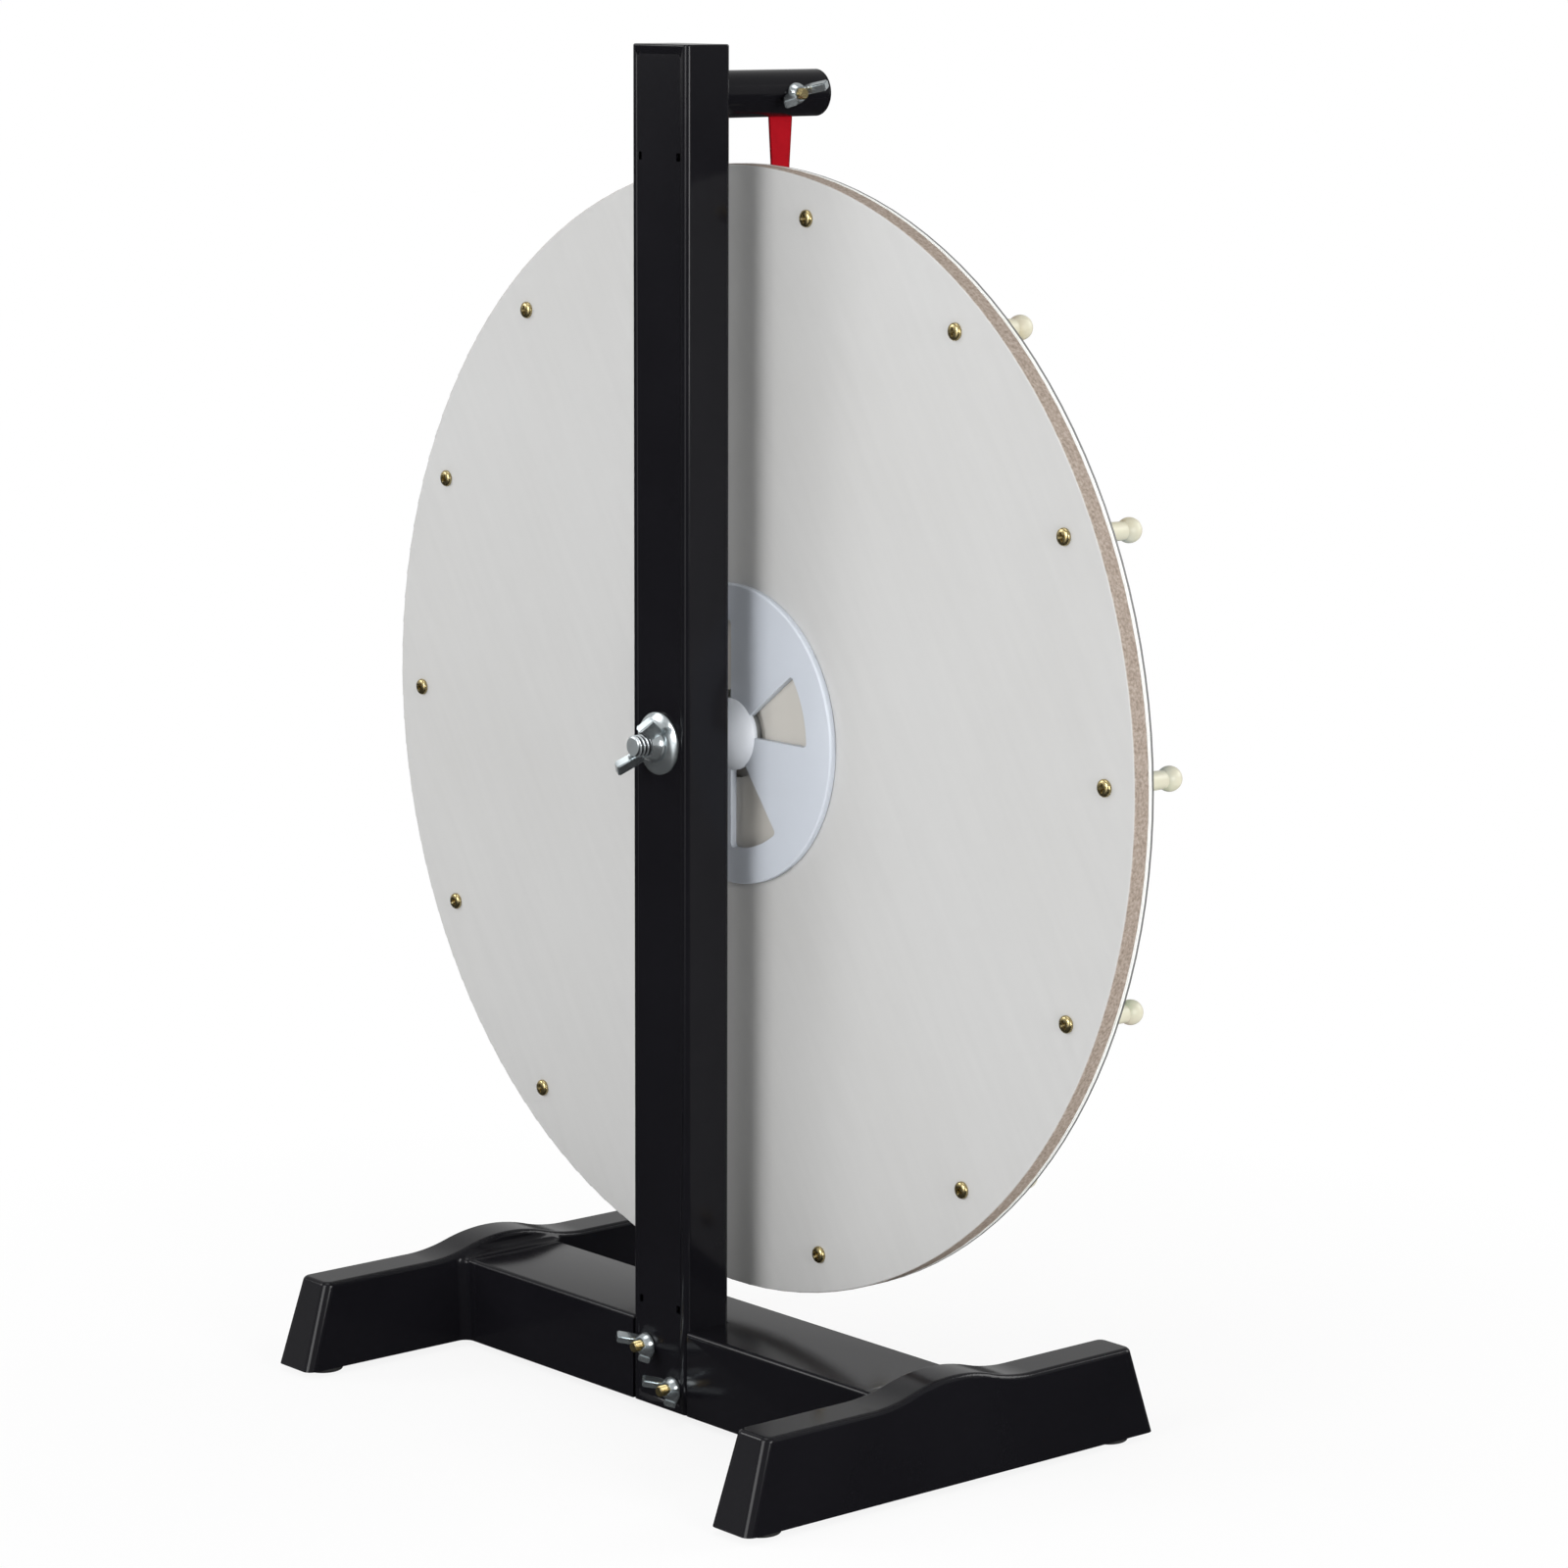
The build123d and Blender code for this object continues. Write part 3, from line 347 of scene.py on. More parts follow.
black = moulded_plastic("black_gloss", (0.0058, 0.0056, 0.0072), 0.15, Specular_IOR_Level=0.16)
white = moulded_plastic("white_satin", (0.53, 0.565, 0.62), 0.42, 0.00002, 0.03)
cream = moulded_plastic("cream_moulding", (0.64, 0.615, 0.48), 0.4, 0.00003, 0.03)
rubber = moulded_plastic("pad_rubber", (0.018, 0.018, 0.018), 0.7, 0.0001)
zinc = plated_steel("bright_zinc", (0.56, 0.6, 0.615), (0.38, 0.42, 0.435), 0.21, 0.92)
yellow = plated_steel("yellow_zinc", (0.56, 0.45, 0.22), (0.3, 0.25, 0.13), 0.26)
polished = plated_steel("bearing_steel", (0.72, 0.72, 0.74), (0.62, 0.62, 0.64), 0.16)
turned = plated_steel("turned_aluminium", (0.8, 0.81, 0.82), (0.66, 0.67, 0.68), 0.3)
board = laminated_board()
face = segmented_face()
clear = clear_sheet()
red = soft_strip()

finish_of_slot = {
    "black_plastic": black,
    "foot_rubber": rubber,
    "zinc_steel": zinc,
    "yellow_zinc": yellow,
    "board": board,
    "printed_face": face,
    "clear_plastic": clear,
    "cream_plastic": cream,
    "white_plastic": white,
    "bearing_steel": polished,
    "aluminium_tube": turned,
    "red_rubber": red,
}
for part in frame["record"]["subparts"]:
    mesh = nodes[part["node"]].data
    mesh.materials.clear()
    mesh.materials.append(finish_of_slot[part["material_slot"]])


# ---------------------------------------------------------------- mesh helpers
def new_piece(name, mesh, finish, slot, body, *replaced):
    """Put a finished mesh in the scene, on its body, in place of the CAD nodes named."""
    piece = bpy.data.objects.new(name, mesh)
    bpy.context.scene.collection.objects.link(piece)
    if not mesh.materials:
        mesh.materials.append(finish)
    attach(piece, body)
    if replaced:
        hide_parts(*replaced)
    return piece


def smooth_copy(node, name, finish, slot, body, angle=32):
    """A CAD node's shape as one closed, smoothly shaded mesh."""
    mesh = nodes[node].data.copy()
    mesh.name = name
    build = bmesh.new()
    build.from_mesh(mesh)
    bmesh.ops.remove_doubles(build, verts=build.verts, dist=1e-6)
    build.to_mesh(mesh)
    build.free()
    mesh.materials.clear()
    mesh.shade_smooth()
    mesh.set_sharp_from_angle(angle=math.radians(angle))
    piece = helper(name + "_plain", mesh)
    level = piece.modifiers.new("flat_faces", "WEIGHTED_NORMAL")
    level.weight = 100
    level.keep_sharp = True
    return new_piece(name, settled(piece, name), finish, slot, body, node)


def lathe(outline, steps=48):
    """A closed turned form about +Z from (radius, height) points."""
    build = bmesh.new()
    rings = []
    for radius, height in outline:
        if radius < 1e-7:
            rings.append([build.verts.new((0, 0, height))])
            continue
        ring = [
            build.verts.new((radius * math.cos(a), radius * math.sin(a), height))
            for a in (math.tau * i / steps for i in range(steps))
        ]
        rings.append(ring)
    for low, high in zip(rings, rings[1:]):
        for i in range(steps):
            corners = [low[i % len(low)], low[(i + 1) % len(low)]]
            corners += [high[(i + 1) % len(high)], high[i % len(high)]]
            unique = list(dict.fromkeys(corners))
            if len(unique) > 2:
                build.faces.new(unique)
    bmesh.ops.recalc_face_normals(build, faces=build.faces)
    return build


def as_mesh(build, name, angle=35):
    mesh = bpy.data.meshes.new(name)
    build.to_mesh(mesh)
    build.free()
    mesh.shade_smooth()
    mesh.set_sharp_from_angle(angle=math.radians(angle))
    return mesh


def settled(piece, name):
    """The piece's shape with its modifiers applied, as a plain mesh; the helper object goes."""
    bpy.context.view_layer.update()
    seen = piece.evaluated_get(bpy.context.evaluated_depsgraph_get())
    mesh = bpy.data.meshes.new_from_object(seen)
    mesh.name = name
    bpy.data.objects.remove(piece)
    return mesh


def helper(name, mesh):
    piece = bpy.data.objects.new(name, mesh)
    bpy.context.scene.collection.objects.link(piece)
    return piece


def along_y(mesh, spot=(0, 0, 0), away=1):
    """Turn a form that stands on +Z so that it points along +Y, or -Y with away = -1."""
    mesh.transform(Matrix.Translation(spot) @ Matrix.Rotation(-away * math.pi / 2, 4, "X"))
    return mesh


def screw_head(name, radius, height, slot_width):
    """A pan head with a four-armed driver recess, standing on z = 0."""
    side = 0.35  # share of the height that is upright, below the crown
    crown = [
        (radius * math.cos(a) ** 0.62, height * (side + (1 - side) * math.sin(a)))
        for a in (math.pi / 2 * i / 10 for i in range(10))
    ]
    outline = [(0, 0), (radius * 0.97, 0), (radius, height * 0.12)] + crown + [(0, height)]
    head = helper(name, as_mesh(lathe(outline, 40), name))
    cutter = bmesh.new()
    lift = Matrix.Translation((0, 0, height * 0.72))
    thin = Matrix.Diagonal((1, slot_width / radius, 1, 1))
    square = Matrix.Rotation(math.pi / 4, 4, "Z")
    for turn in (0, math.pi / 2):
        arm = bmesh.ops.create_cone(
            cutter,
            cap_ends=True,
            segments=4,
            radius1=radius * 0.28,
            radius2=radius * 0.86,
            depth=height * 0.8,
        )["verts"]
        place = lift @ Matrix.Rotation(turn, 4, "Z") @ thin @ square
        bmesh.ops.transform(cutter, matrix=place, verts=arm)
    tool = helper(name + "_cutter", as_mesh(cutter, name + "_cutter"))
    recess = head.modifiers.new("recess", "BOOLEAN")
    recess.operation = "DIFFERENCE"
    recess.solver = "EXACT"
    recess.use_self = True
    recess.object = tool
    mesh = settled(head, name)
    bpy.data.objects.remove(tool)
    mesh.shade_smooth()
    mesh.set_sharp_from_angle(angle=math.radians(35))
    return mesh


def threaded_rod(radius, pitch, thread_from, length, chamfer, steps=48):
    """A bolt's shank on +Z: plain, then a helical thread up to a chamfered tip."""
    depth = 0.58 * pitch
    rows_per_turn = 8
    threaded = length - thread_from
    count = max(int(threaded / pitch * rows_per_turn), rows_per_turn)
    rows = [(0.0, False), (thread_from, False)]
    rows += [(thread_from + threaded * i / count, True) for i in range(1, count + 1)]
    build = bmesh.new()
    rings = []
    for height, cut in rows:
        ring = []
        for i in range(steps):
            turn = i / steps
            reach = radius
            if cut:
                wave = abs(2 * ((height / pitch - turn) % 1.0) - 1)
                reach -= depth * max(min(1.35 * wave - 0.12, 1.0), 0.0)
            reach = min(reach, radius - chamfer + (length - height))
            angle = math.tau * turn
            ring.append(build.verts.new((reach * math.cos(angle), reach * math.sin(angle), height)))
        rings.append(ring)
    for low, high in zip(rings, rings[1:]):
        for i in range(steps):
            j = (i + 1) % steps
            build.faces.new((low[i], low[j], high[j], high[i]))
    build.faces.new(rings[0][::-1])
    build.faces.new(rings[-1])
    return build


def join(name, *meshes):
    """Several closed forms as one mesh."""
    build = bmesh.new()
    for mesh in meshes:
        build.from_mesh(mesh)
    return as_mesh(build, name)


def slab(outline, thickness, soften):
    """A flat shape from (x, z) points, standing across Y, with softened edges."""
    build = bmesh.new()
    near = [build.verts.new((x, -thickness / 2, z)) for x, z in outline]
    far = [build.verts.new((x, thickness / 2, z)) for x, z in outline]
    build.faces.new(near)
    build.faces.new(far[::-1])
    for i in range(len(outline)):
        j = (i + 1) % len(outline)
        build.faces.new((near[j], near[i], far[i], far[j]))
    bmesh.ops.recalc_face_normals(build, faces=build.faces)
    bmesh.ops.bevel(
        build, geom=build.edges[:], offset=soften, segments=2, affect="EDGES", clamp_overlap=True
    )
    return build


def wing_nut(name, bore, sizes):
    """A wing nut standing on z = 0 with its wings along X.

    sizes, in mm: radius at the base, height of the boss, reach and rise of a wing, its thickness.
    """
    base, height, reach, rise, thickness = (size * MM for size in sizes)
    soft = 0.06 * base
    top = 0.74 * base
    boss_outline = [
        (bore, 0),
        (base - soft, 0),
        (base, soft),
        (base * 0.99, height * 0.25),
        (base * 0.93, height * 0.5),
        (top, height - soft),
        (top - soft, height),
        (bore, height),
        (bore, 0),
    ]
    boss = lathe(boss_outline, 56)
    bmesh.ops.remove_doubles(boss, verts=boss.verts, dist=1e-7)
    bmesh.ops.recalc_face_normals(boss, faces=boss.faces)
    inner = bore + 0.0003
    shares = [  # of the reach and the rise: out along the underside, back along the top
        (0.44, 0.05), (0.56, 0.11), (0.68, 0.25), (1, 0.72),
        (0.63, 1), (0.345, 0.55), (0.3, 0.42),
    ]
    outline = [(inner, 0.04 * rise)] + [(out * reach, up * rise) for out, up in shares]
    outline += [(inner, 0.33 * rise)]
    wing = as_mesh(slab(outline, thickness, 0.14 * thickness), name + "_wing")
    other = wing.copy()
    other.transform(Matrix.Rotation(math.pi, 4, "Z"))
    return join(name, as_mesh(boss, name + "_boss"), wing, other)


def new_nut(name, node, bore, sizes, *places):
    """Wing nuts of one kind, each put in place by its matrix."""
    forms = []
    for place in places:
        form = wing_nut(name, bore, sizes)
        form.transform(place)
        forms.append(form)
    mesh = join(name, *forms)
    mesh.shade_smooth()
    mesh.set_sharp_from_angle(angle=math.radians(40))
    return new_piece(name, mesh, zinc, "zinc_steel", "stand", node)


def ring_tree():
    """Geometry nodes: one shape repeated round the axle, each turned a little differently."""
    tree = bpy.data.node_groups.new("ring_of_parts", "GeometryNodeTree")
    face_in = tree.interface
    inputs = (
        ("Count", "NodeSocketInt"),
        ("Circle Radius", "NodeSocketFloat"),
        ("First Angle", "NodeSocketFloat"),
        ("Seat", "NodeSocketVector"),
        ("Twist", "NodeSocketFloat"),
        ("Shape", "NodeSocketObject"),
        ("Finish", "NodeSocketMaterial"),
    )
    for name, kind in inputs:
        face_in.new_socket(name=name, in_out="INPUT", socket_type=kind)
    face_in.new_socket(name="Geometry", in_out="OUTPUT", socket_type="NodeSocketGeometry")
    made = {key: tree.nodes.new(kind) for key, kind in (
        ("given", "NodeGroupInput"), ("circle", "GeometryNodeMeshCircle"),
        ("turn", "ShaderNodeCombineXYZ"), ("back", "ShaderNodeMath"),
        ("place", "GeometryNodeTransform"), ("shape", "GeometryNodeObjectInfo"),
        ("twist", "FunctionNodeRandomValue"), ("spin", "ShaderNodeCombineXYZ"),
        ("repeat", "GeometryNodeInstanceOnPoints"), ("real", "GeometryNodeRealizeInstances"),
        ("paint", "GeometryNodeSetMaterial"), ("out", "NodeGroupOutput"),
    )}
    made["back"].operation = "MULTIPLY"
    made["back"].inputs[1].default_value = -1.0
    made["turn"].inputs[0].default_value = math.pi / 2
    made["twist"].inputs["Seed"].default_value = 5
    given = made["given"].outputs
    links = (
        (given["Count"], made["circle"].inputs["Vertices"]),
        (given["Circle Radius"], made["circle"].inputs["Radius"]),
        (given["First Angle"], made["back"].inputs[0]),
        (made["back"].outputs[0], made["turn"].inputs[1]),
        (made["circle"].outputs["Mesh"], made["place"].inputs["Geometry"]),
        (made["turn"].outputs[0], made["place"].inputs["Rotation"]),
        (given["Seat"], made["place"].inputs["Translation"]),
        (made["place"].outputs["Geometry"], made["repeat"].inputs["Points"]),
        (given["Shape"], made["shape"].inputs["Object"]),
        (made["shape"].outputs["Geometry"], made["repeat"].inputs["Instance"]),
        (given["Twist"], made["twist"].inputs[3]),
        (made["twist"].outputs[1], made["spin"].inputs[1]),
        (made["spin"].outputs[0], made["repeat"].inputs["Rotation"]),
        (made["repeat"].outputs["Instances"], made["real"].inputs["Geometry"]),
        (made["real"].outputs["Geometry"], made["paint"].inputs["Geometry"]),
        (given["Finish"], made["paint"].inputs["Material"]),
        (made["paint"].outputs["Geometry"], made["out"].inputs["Geometry"]),
    )
    for source, target in links:
        tree.links.new(source, target)
    return tree


def ring_of(name, shape, count, circle, first, seat_y, twist, finish, slot, body, *replaced):
    """A ring of one shape about the axle, as one plain mesh on its body."""
    pattern = helper(name + "_pattern", shape)
    carrier = helper(name, bpy.data.meshes.new(name))
    layer = carrier.modifiers.new("ring", "NODES")
    layer.node_group = rings
    given = {
        "Count": count, "Circle Radius": circle, "First Angle": first,
        "Seat": (0.0, seat_y, axle.z), "Twist": twist, "Shape": pattern, "Finish": finish,
    }
    for item in rings.interface.items_tree:
        if item.in_out == "INPUT":
            layer[item.identifier] = given[item.name]
    mesh = settled(carrier, name)
    bpy.data.objects.remove(pattern)
    return new_piece(name, mesh, finish, slot, body, *replaced)


# ---------------------------------------------------------------- wheel fittings
rings = ring_tree()

peg_ball = 0.0066
peg_reach = 0.0315
neck = 0.0047
shank_top = peg_reach - math.sqrt(peg_ball**2 - neck**2)
start = math.acos(-(peg_reach - shank_top) / peg_ball)
ball_arc = [
    (peg_ball * math.sin(turn), peg_reach + peg_ball * math.cos(turn))
    for turn in (start * (1 - i / 18) for i in range(18))
]
peg_foot = 0.0052
peg_outline = [(0, 0), (peg_foot - 0.0003, 0), (peg_foot, 0.0004), (neck + 0.0001, shank_top * 0.97)]
peg_outline += ball_arc + [(0, peg_reach + peg_ball)]
peg = along_y(as_mesh(lathe(peg_outline, 36), "peg"), away=-1)
ring_of("peg_ring", peg, peg_count, peg_circle, peg_first, cover_front, 0.0, cream,
        "cream_plastic", "wheel", "wheel_pegs")

peg_screw = along_y(screw_head("peg_screw", 0.0046, 0.0026, 0.0012))
ring_of("peg_screw_ring", peg_screw, peg_count, peg_circle, peg_first, board_back, math.tau, yellow,
        "yellow_zinc", "wheel", "peg_screws")

hub_screw_height = 0.0022
hub_screw_circle = 0.036
hub_screw_first = math.radians(26.5)
hub_screw = along_y(screw_head("hub_screw", 0.0037, hub_screw_height, 0.001), away=-1)
hub_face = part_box("hub_screws")[0].y + hub_screw_height
ring_of("hub_screw_ring", hub_screw, 4, hub_screw_circle, hub_screw_first, hub_face, math.tau, yellow,
        "yellow_zinc", "wheel", "hub_screws")

for node in ("hub_flange_front", "hub_cap"):
    smooth_copy(node, node + "_moulding", white, "white_plastic", "wheel")

# The cover's back stands a hair clear of the printed face, so the two never share a surface.
hair = 0.00005
face_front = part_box("face_sheet")[0].y
sheet = smooth_copy("clear_cover", "clear_cover_sheet", clear, "clear_plastic", "wheel")
for corner in sheet.data.vertices:
    if corner.co.y > face_front - hair:
        corner.co.y -= hair


# ---------------------------------------------------------------- rear hub moulding
def window_outline(inner, outer, start, sweep, corner):
    """A sector window's outline as (x, z) points, its two outer corners rounded."""
    off = math.asin(corner / (outer - corner))
    points = [(inner * math.cos(start), inner * math.sin(start))]
    for base, first, last in (
        (start + off, start - math.pi / 2, start + off),
        (start + sweep - off, start + sweep - off, start + sweep + math.pi / 2),
    ):
        centre = ((outer - corner) * math.cos(base), (outer - corner) * math.sin(base))
        for i in range(11):
            turn = first + (last - first) * i / 10
            round_x, round_z = corner * math.cos(turn), corner * math.sin(turn)
            points.append((centre[0] + round_x, centre[1] + round_z))
        if base < start + sweep / 2:
            arc = (start + off + (sweep - 2 * off) * i / 24 for i in range(1, 24))
            points += [(outer * math.cos(a), outer * math.sin(a)) for a in arc]
    back = (start + sweep - sweep * i / 12 for i in range(12))
    return points + [(inner * math.cos(a), inner * math.sin(a)) for a in back]


def prism(outline, low, high):
    """A closed prism between two heights from (x, y) points."""
    build = bmesh.new()
    under = [build.verts.new((x, y, low)) for x, y in outline]
    over = [build.verts.new((x, y, high)) for x, y in outline]
    build.faces.new(under)
    build.faces.new(over)
    for i in range(len(outline)):
        j = (i + 1) % len(outline)
        build.faces.new((under[i], under[j], over[j], over[i]))
    bmesh.ops.recalc_face_normals(build, faces=build.faces)
    return build


def windowed_plate():
    """The hub's round plate, standing on z = 0, with its four sector windows cut out."""
    thick, radius, edge = hub_thickness, 0.0815, 0.0012
    window_inner, window_outer, window_corner = 0.0178, 0.062, 0.0025
    window_angle = 37
    rounding = [
        (radius - edge * (1 - math.sin(a)), thick - edge * (1 - math.cos(a)))
        for a in (math.pi / 2 * (1 - i / 6) for i in range(7))
    ]
    outline = [(0, 0), (radius - 0.0004, 0), (radius, 0.0004)] + rounding + [(0, thick)]
    plate = helper("hub_plate", as_mesh(lathe(outline, 216), "hub_plate"))
    cutters = bmesh.new()
    sweep = math.radians(window_angle)
    for i in range(4):
        start = math.radians(90 - window_angle + 90 * i)
        window = window_outline(window_inner, window_outer, start, sweep, window_corner)
        cutter = prism([(x, -z) for x, z in window], -0.001, thick + 0.002)
        cutters.from_mesh(as_mesh(cutter, "window"))
    tool = helper("hub_windows", as_mesh(cutters, "hub_windows"))
    windows = plate.modifiers.new("windows", "BOOLEAN")
    windows.operation = "DIFFERENCE"
    windows.solver = "EXACT"
    windows.object = tool
    soften = plate.modifiers.new("soft_edges", "BEVEL")
    soften.width = 0.0003
    soften.segments = 2
    soften.limit_method = "ANGLE"
    soften.angle_limit = math.radians(50)
    flat = plate.modifiers.new("flat_faces", "WEIGHTED_NORMAL")
    flat.weight = 100
    mesh = settled(plate, "hub_plate")
    bpy.data.objects.remove(tool)
    return mesh


def rear_hub():
    """Windowed plate, the dome that overhangs the windows a little, and the barrel."""
    dome_height, barrel_depth, chamfer = 0.011, 0.008, 0.0004
    ball = (hub_dome_radius**2 + dome_height**2) / (2 * dome_height)
    ball_centre = hub_thickness + dome_height - ball
    sweep = math.asin(hub_dome_radius / ball)
    under = hub_thickness - hub_dome_skirt
    dome = [(0, under), (hub_dome_radius - 0.0002, under), (hub_dome_radius, under + 0.0002)]
    dome += [
        (ball * math.sin(a), ball_centre + ball * math.cos(a))
        for a in (sweep * (1 - i / 20) for i in range(21))
    ]
    barrel_top = hub_thickness - hub_dome_skirt / 2  # ends inside the dome
    barrel = [
        (0, -barrel_depth),
        (hub_barrel_radius - chamfer, -barrel_depth),
        (hub_barrel_radius, chamfer - barrel_depth),
        (hub_barrel_radius, barrel_top),
        (0, barrel_top),
    ]
    build = bmesh.new()
    build.from_mesh(windowed_plate())
    build.from_mesh(as_mesh(lathe(dome, 120), "hub_dome"))
    build.from_mesh(as_mesh(lathe(barrel, 96), "hub_barrel"))
    mesh = bpy.data.meshes.new("rear_hub_moulding")
    build.to_mesh(mesh)
    build.free()
    mesh.set_sharp_from_angle(angle=math.radians(32))
    return along_y(mesh, (0, board_back, axle.z))


new_piece("rear_hub_moulding", rear_hub(), hub_plastic(), "white_plastic", "wheel", "hub_flange_rear")

# ---------------------------------------------------------------- axle
low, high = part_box("axle_bolt")
head_height = 0.0075
hexagon_radius = 0.01035
shank_length = high.y - low.y - head_height
axle_thread = threaded_rod(axle_thread_radius, 0.0025, 0.066, shank_length, 0.001)
shank = along_y(as_mesh(axle_thread, "axle_shank"), (0, low.y + head_height, axle.z))
hexagon = bmesh.new()
bmesh.ops.create_cone(
    hexagon,
    cap_ends=True,
    segments=6,
    radius1=hexagon_radius,
    radius2=hexagon_radius,
    depth=head_height,
)
bmesh.ops.bevel(hexagon, geom=hexagon.edges[:], offset=0.0006, segments=2, affect="EDGES")
hex_head = along_y(as_mesh(hexagon, "axle_head"), (0, low.y + head_height / 2, axle.z))
axle_bolt = join("axle_bolt_threaded", shank, hex_head)
new_piece("axle_bolt_threaded", axle_bolt, bolt_thread(high.y), "zinc_steel", "stand", "axle_bolt")

washer_height = 0.0038
washer_outline = [  # up the cupped inside, over the rim and back along the outside
    (0.0062, 0.0018), (0.011, 0.0018), (0.0138, 0.001), (0.0164, 0.0), (0.0168, 0.0004),
    (0.0168, 0.0013), (0.0164, 0.0017), (0.0138, 0.0027), (0.0112, 0.0037),
    (0.0062, washer_height), (0.0062, 0.0018),
]
washer_form = lathe(washer_outline, 72)
bmesh.ops.remove_doubles(washer_form, verts=washer_form.verts, dist=1e-7)
bmesh.ops.recalc_face_normals(washer_form, faces=washer_form.faces)
washer = along_y(as_mesh(washer_form, "cupped_washer"), (0, post_rear, axle.z))
new_piece("cupped_washer", washer, zinc, "zinc_steel", "stand", "axle_washer")


def towards_back(x, y, z, turn):
    """Stands a nut on a face that looks to +Y, one wing turned from +X towards +Z."""
    upright = Matrix.Rotation(-math.radians(turn), 4, "Y") @ Matrix.Rotation(-math.pi / 2, 4, "X")
    return Matrix.Translation((x, y, z)) @ upright


axle_nut_seat = post_rear + washer_height
new_nut(
    "axle_nut_forged",
    "axle_wing_nut",
    axle_nut_bore,
    (10.0, 6.2, 21.9, 18.4, 4.2),
    towards_back(0, axle_nut_seat, axle.z, 131),
)
new_nut(
    "base_nuts_forged",
    "base_wing_nuts",
    small_nut_bore,
    (6.6, 5.0, 15.0, 13.6, 4.2),
    *(towards_back(x, post_rear, z, 18.5) for x, z in base_bolt_places),
)
on_arm = Matrix.Rotation(math.radians(160), 4, "X") @ Matrix.Rotation(-math.pi / 2, 4, "Y")
on_arm = on_arm @ Matrix.Rotation(math.pi / 2, 4, "Z")
arm_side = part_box("clapper_wing_nut")[1].x
new_nut(
    "clapper_nut_forged",
    "clapper_wing_nut",
    small_nut_bore,
    (5.8, 4.6, 16.3, 12.6, 4.4),
    Matrix.Translation((arm_side, clapper_y, arm_height)) @ on_arm,
)

# ---------------------------------------------------------------- base bolts
low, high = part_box("base_bolts")
head_radius, head_height = 0.0066, 0.0032
head_seat = low.y + head_height
length = high.y - head_seat
cap_outline = [(0, 0), (head_radius, 0)]
cap_outline += [
    (head_radius * math.cos(a), head_height * math.sin(a))
    for a in (math.pi / 2 * i / 10 for i in range(1, 10))
]
cap_outline += [(0, head_height)]
bolt_forms = []
for x, z in base_bolt_places:
    rod = threaded_rod(small_bolt_radius, 0.001, length - 0.022, length, 0.0006, 36)
    bolt_forms.append(along_y(as_mesh(rod, "base_shank"), (x, head_seat, z)))
    cap = as_mesh(lathe(cap_outline, 40), "base_head")
    bolt_forms.append(along_y(cap, (x, head_seat, z), away=-1))
base_bolts = join("base_bolts_threaded", *bolt_forms)
new_piece("base_bolts_threaded", base_bolts, yellow, "yellow_zinc", "stand", "base_bolts")

# ---------------------------------------------------------------- clapper
low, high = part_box("clapper_bolt")
head_height = 0.0032
tube_side = high.x - head_height
rod_length = tube_side - low.x
at_tube_side = Matrix.Translation((tube_side, clapper_y, arm_height))
rod_form = threaded_rod(small_bolt_radius, 0.001, rod_length - 0.013, rod_length, 0.0006, 36)
rod = as_mesh(rod_form, "rod")
rod.transform(at_tube_side @ Matrix.Rotation(-math.pi / 2, 4, "Y"))
head = screw_head("clapper_head", 0.0052, head_height, 0.0012)
head.transform(at_tube_side @ Matrix.Rotation(math.pi / 2, 4, "Y"))
clapper_bolt = join("clapper_bolt_threaded", rod, head)
new_piece("clapper_bolt_threaded", clapper_bolt, yellow, "yellow_zinc", "stand", "clapper_bolt")

strip_low, strip_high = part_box("clapper_strip")
half_thick = 0.00085
bend = strip_high.z - half_thick


def half_width(from_tip):
    """Half the strip's width at a height above its tip: a round end, then a slow taper."""
    half_root, half_tip = 0.0078, 0.005
    if from_tip < half_tip:
        return math.sqrt(max(half_tip**2 - (half_tip - from_tip) ** 2, 1e-8))
    share = min((from_tip - half_tip) / (bend - strip_low.z - half_tip), 1)
    return half_tip + (half_root - half_tip) * share


def strip_row(build, height):
    """One loop round the strip: four rounded corners of three points each."""
    half = half_width(height - strip_low.z)
    rounding = min(0.00035, half * 0.5)
    row = []
    for side, across in ((1, 1), (1, -1), (-1, -1), (-1, 1)):
        for step in range(3):
            sweep = math.pi / 4 * step
            if side * across < 0:
                sweep = math.pi / 2 - sweep
            y = side * (half - rounding + rounding * math.cos(sweep))
            x = across * (half_thick - rounding + rounding * math.sin(sweep))
            row.append(build.verts.new((x, clapper_y + y, height)))
    return row


strip = bmesh.new()
row_count = 68
tip = strip_low.z + 0.00012
strip_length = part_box("clapper_root")[1].z - tip
rows = [strip_row(strip, tip + strip_length * i / row_count) for i in range(row_count + 1)]
for under, over in zip(rows, rows[1:]):
    for i in range(len(under)):
        j = (i + 1) % len(under)
        strip.faces.new((under[i], under[j], over[j], over[i]))
strip.faces.new(rows[0])
strip.faces.new(rows[-1])
bmesh.ops.recalc_face_normals(strip, faces=strip.faces)
flap = helper("clapper_flap", as_mesh(strip, "clapper_flap", 50))
flap.data.materials.append(red)
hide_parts("clapper_root", "clapper_strip")
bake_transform(flap)

# ---------------------------------------------------------------- black mouldings
black_nodes = (
    "foot_left", "foot_right", "crossbeam", "post_channel", "post_rear_cover", "pointer_arm",
    "arm_end_plug",
)
for node in black_nodes:
    smooth_copy(node, node + "_moulding", black, "black_plastic", "stand", 28)

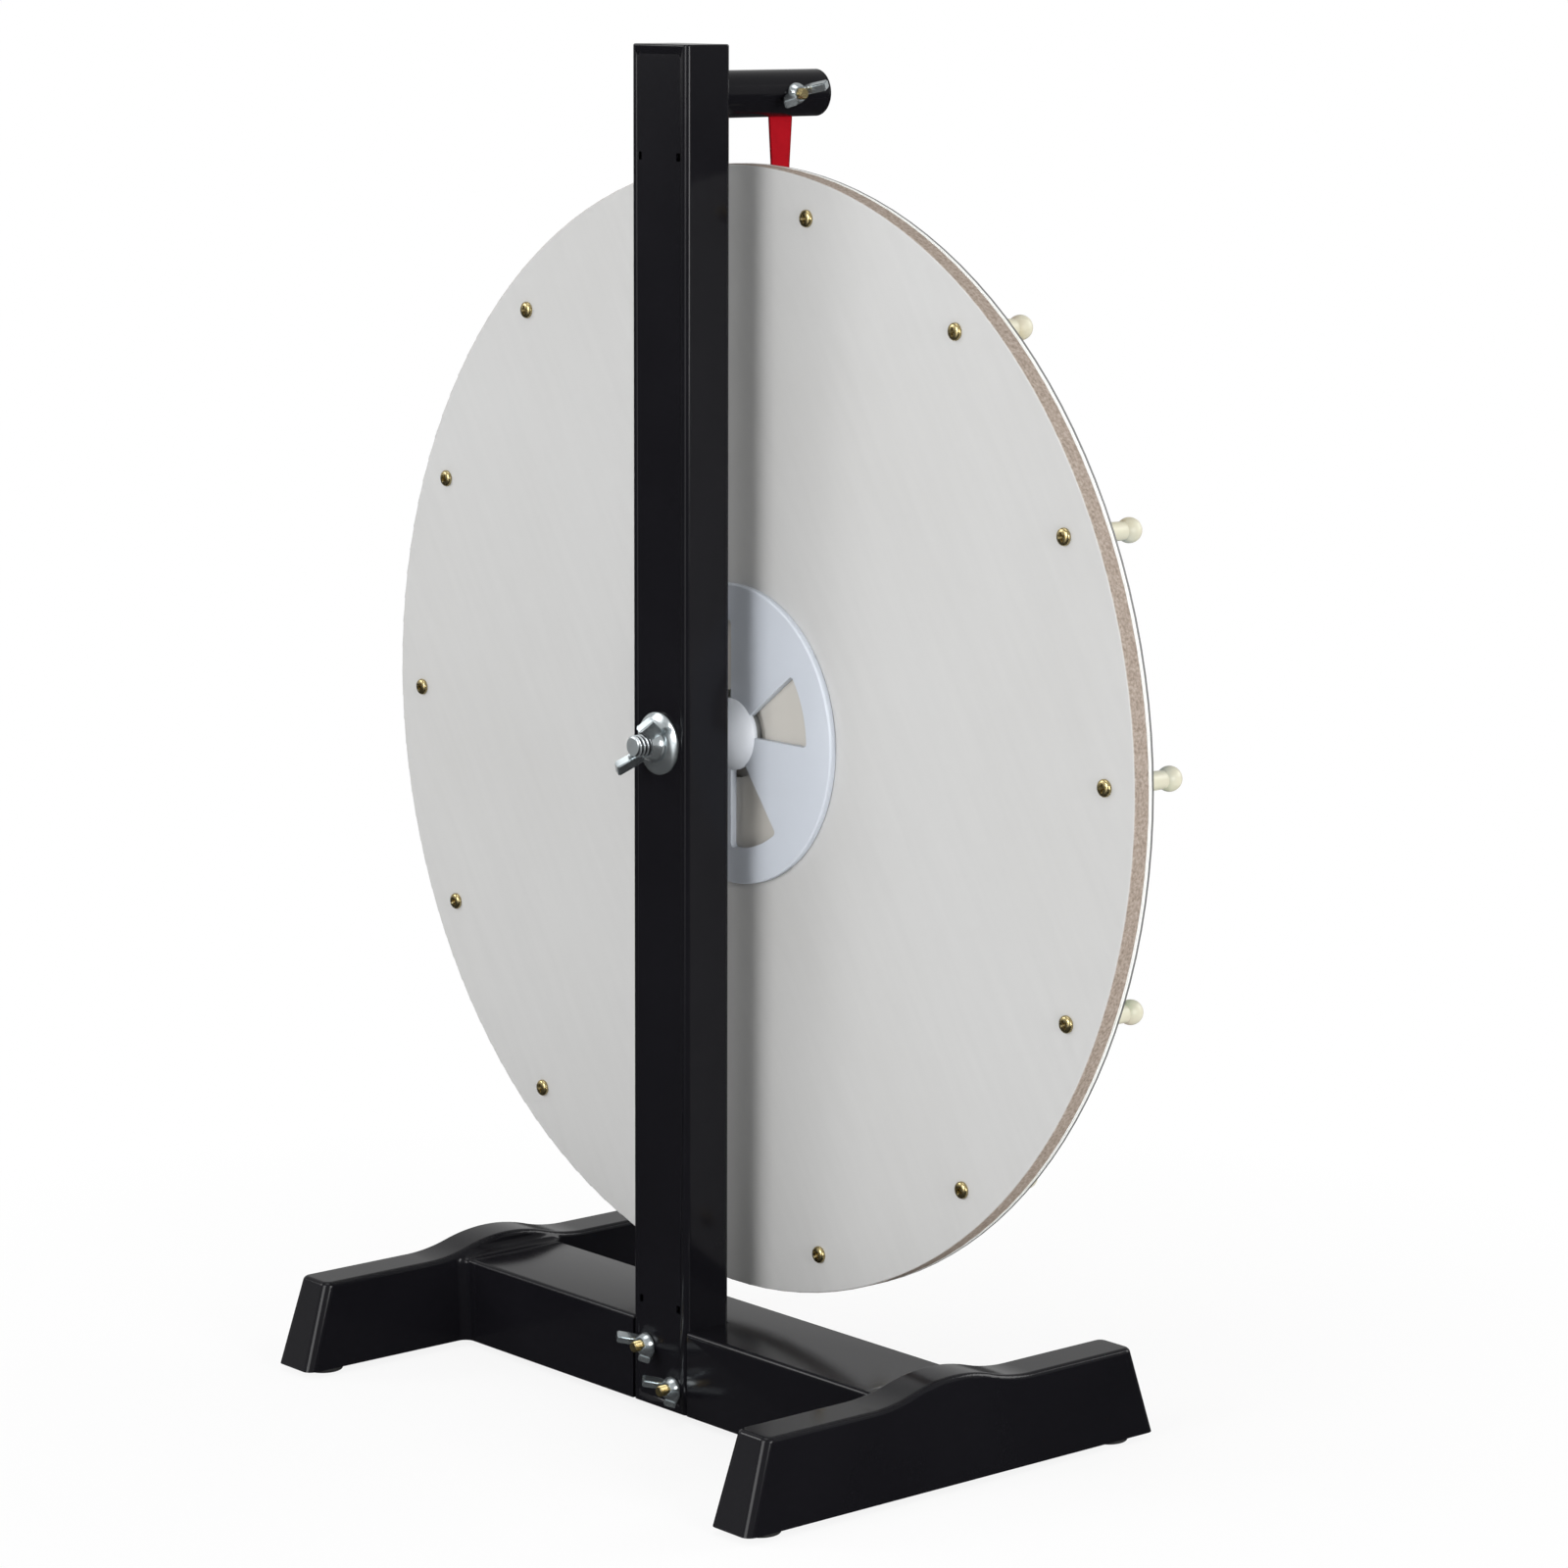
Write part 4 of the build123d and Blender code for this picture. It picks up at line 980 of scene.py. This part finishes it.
# ---------------------------------------------------------------- floor, light and camera
ground = bmesh.new()
bmesh.ops.create_circle(ground, cap_ends=True, segments=64, radius=30)
floor = helper("floor", as_mesh(ground, "floor"))
pale = Finish("pale_floor", (0.86, 0.86, 0.86), 0.8)
spot, (x, y, _) = pale.place()
dust = pale.noise(spot, 3, 3)
pale.feed("Base Color", pale.mix(dust, (0.85, 0.85, 0.85), (0.88, 0.88, 0.88)))


def floor_glow(strength):
    node = pale.add("ShaderNodeEmission", None, {"Color": (1, 1, 1, 1), "Strength": strength})
    return node.outputs[0]


def either(share, first, second):
    node = pale.add("ShaderNodeMixShader", None, {0: share, 1: first, 2: second})
    return node.outputs[0]


# Seen directly, the floor fades to plain white away from the part and keeps its soft shadow near it.
# Glossy parts mirror it as dark, with one bright lane behind the part that lights the post's edges.
path = pale.add("ShaderNodeLightPath").outputs
far = ((x * x + y * y).root() * 1.6 - 0.1).clamped() * 0.16 + 0.84
lane = ((y * 0.3 - x.size()) * 3 - 0.4).clamped()
seen = Value(pale, path["Is Camera Ray"]) * far
direct = either(seen, pale.shader.outputs[0], floor_glow(1.0))
mirrored = either(lane, floor_glow(0.06), floor_glow(2.06))
surface = either(path["Is Glossy Ray"], direct, mirrored)
pale.tree.links.new(surface, pale.tree.nodes["Material Output"].inputs["Surface"])
floor.data.materials.append(pale.material)

scene = bpy.context.scene
scene.view_settings.view_transform = "Standard"
world = bpy.data.worlds.new("studio")
scene.world = world
world.use_nodes = True
sky = world.node_tree
back = sky.nodes["Background"]
back.inputs["Color"].default_value = (1, 1, 1, 1)
ray = sky.nodes.new("ShaderNodeLightPath").outputs
level = None  # the sky's light on the part; each kind of ray below sees its own brightness
for kind, brightness in (("Is Glossy Ray", 0.58), ("Is Camera Ray", 1.0), ("Is Transmission Ray", 1.0)):
    choice = sky.nodes.new("ShaderNodeMix")
    sky.links.new(ray[kind], choice.inputs[0])
    choice.inputs[2].default_value = 0.3
    choice.inputs[3].default_value = brightness
    if level:
        sky.links.new(level, choice.inputs[2])
    level = choice.outputs[0]
sky.links.new(level, back.inputs["Strength"])


def softbox(name, spot, aim, width, height, power):
    """A rectangular lamp, size in metres and power in watts, that looks from spot to aim."""
    lamp = bpy.data.lights.new(name, "AREA")
    lamp.shape = "RECTANGLE"
    lamp.size = width
    lamp.size_y = height
    lamp.energy = power
    box = bpy.data.objects.new(name, lamp)
    scene.collection.objects.link(box)
    box.location = spot
    box.rotation_mode = "QUATERNION"
    box.rotation_quaternion = (Vector(aim) - Vector(spot)).to_track_quat("-Z", "Y")


wheel_middle = (0, 0, 0.4)
softbox("key", (-0.35, 3.4, 1.5), wheel_middle, 1.9, 1.9, 77)
softbox("left", (2.2, 1.9, 1.7), wheel_middle, 1.0, 1.0, 20)
softbox("front", (-1.2, -2.8, 1.6), wheel_middle, 1.4, 1.4, 34)
softbox("top", (0.1, 0.5, 3.0), (0, 0, 0.3), 1.6, 1.2, 14)
softbox("side", (-3.2, 0.35, 0.9), wheel_middle, 1.3, 1.3, 60)

camera_data = bpy.data.cameras.new("camera")
camera_data.sensor_width = 36
camera_data.lens = 112.67
camera = bpy.data.objects.new("camera", camera_data)
scene.collection.objects.link(camera)
scene.camera = camera
camera.location = (-2.0003, 1.6611, 0.7839)
camera.rotation_mode = "QUATERNION"
ahead = Vector((0.7484, -0.6420, -0.1666)).to_track_quat("-Z", "Y")
camera.rotation_quaternion = ahead @ Matrix.Rotation(math.radians(0.2), 3, "Z").to_quaternion()
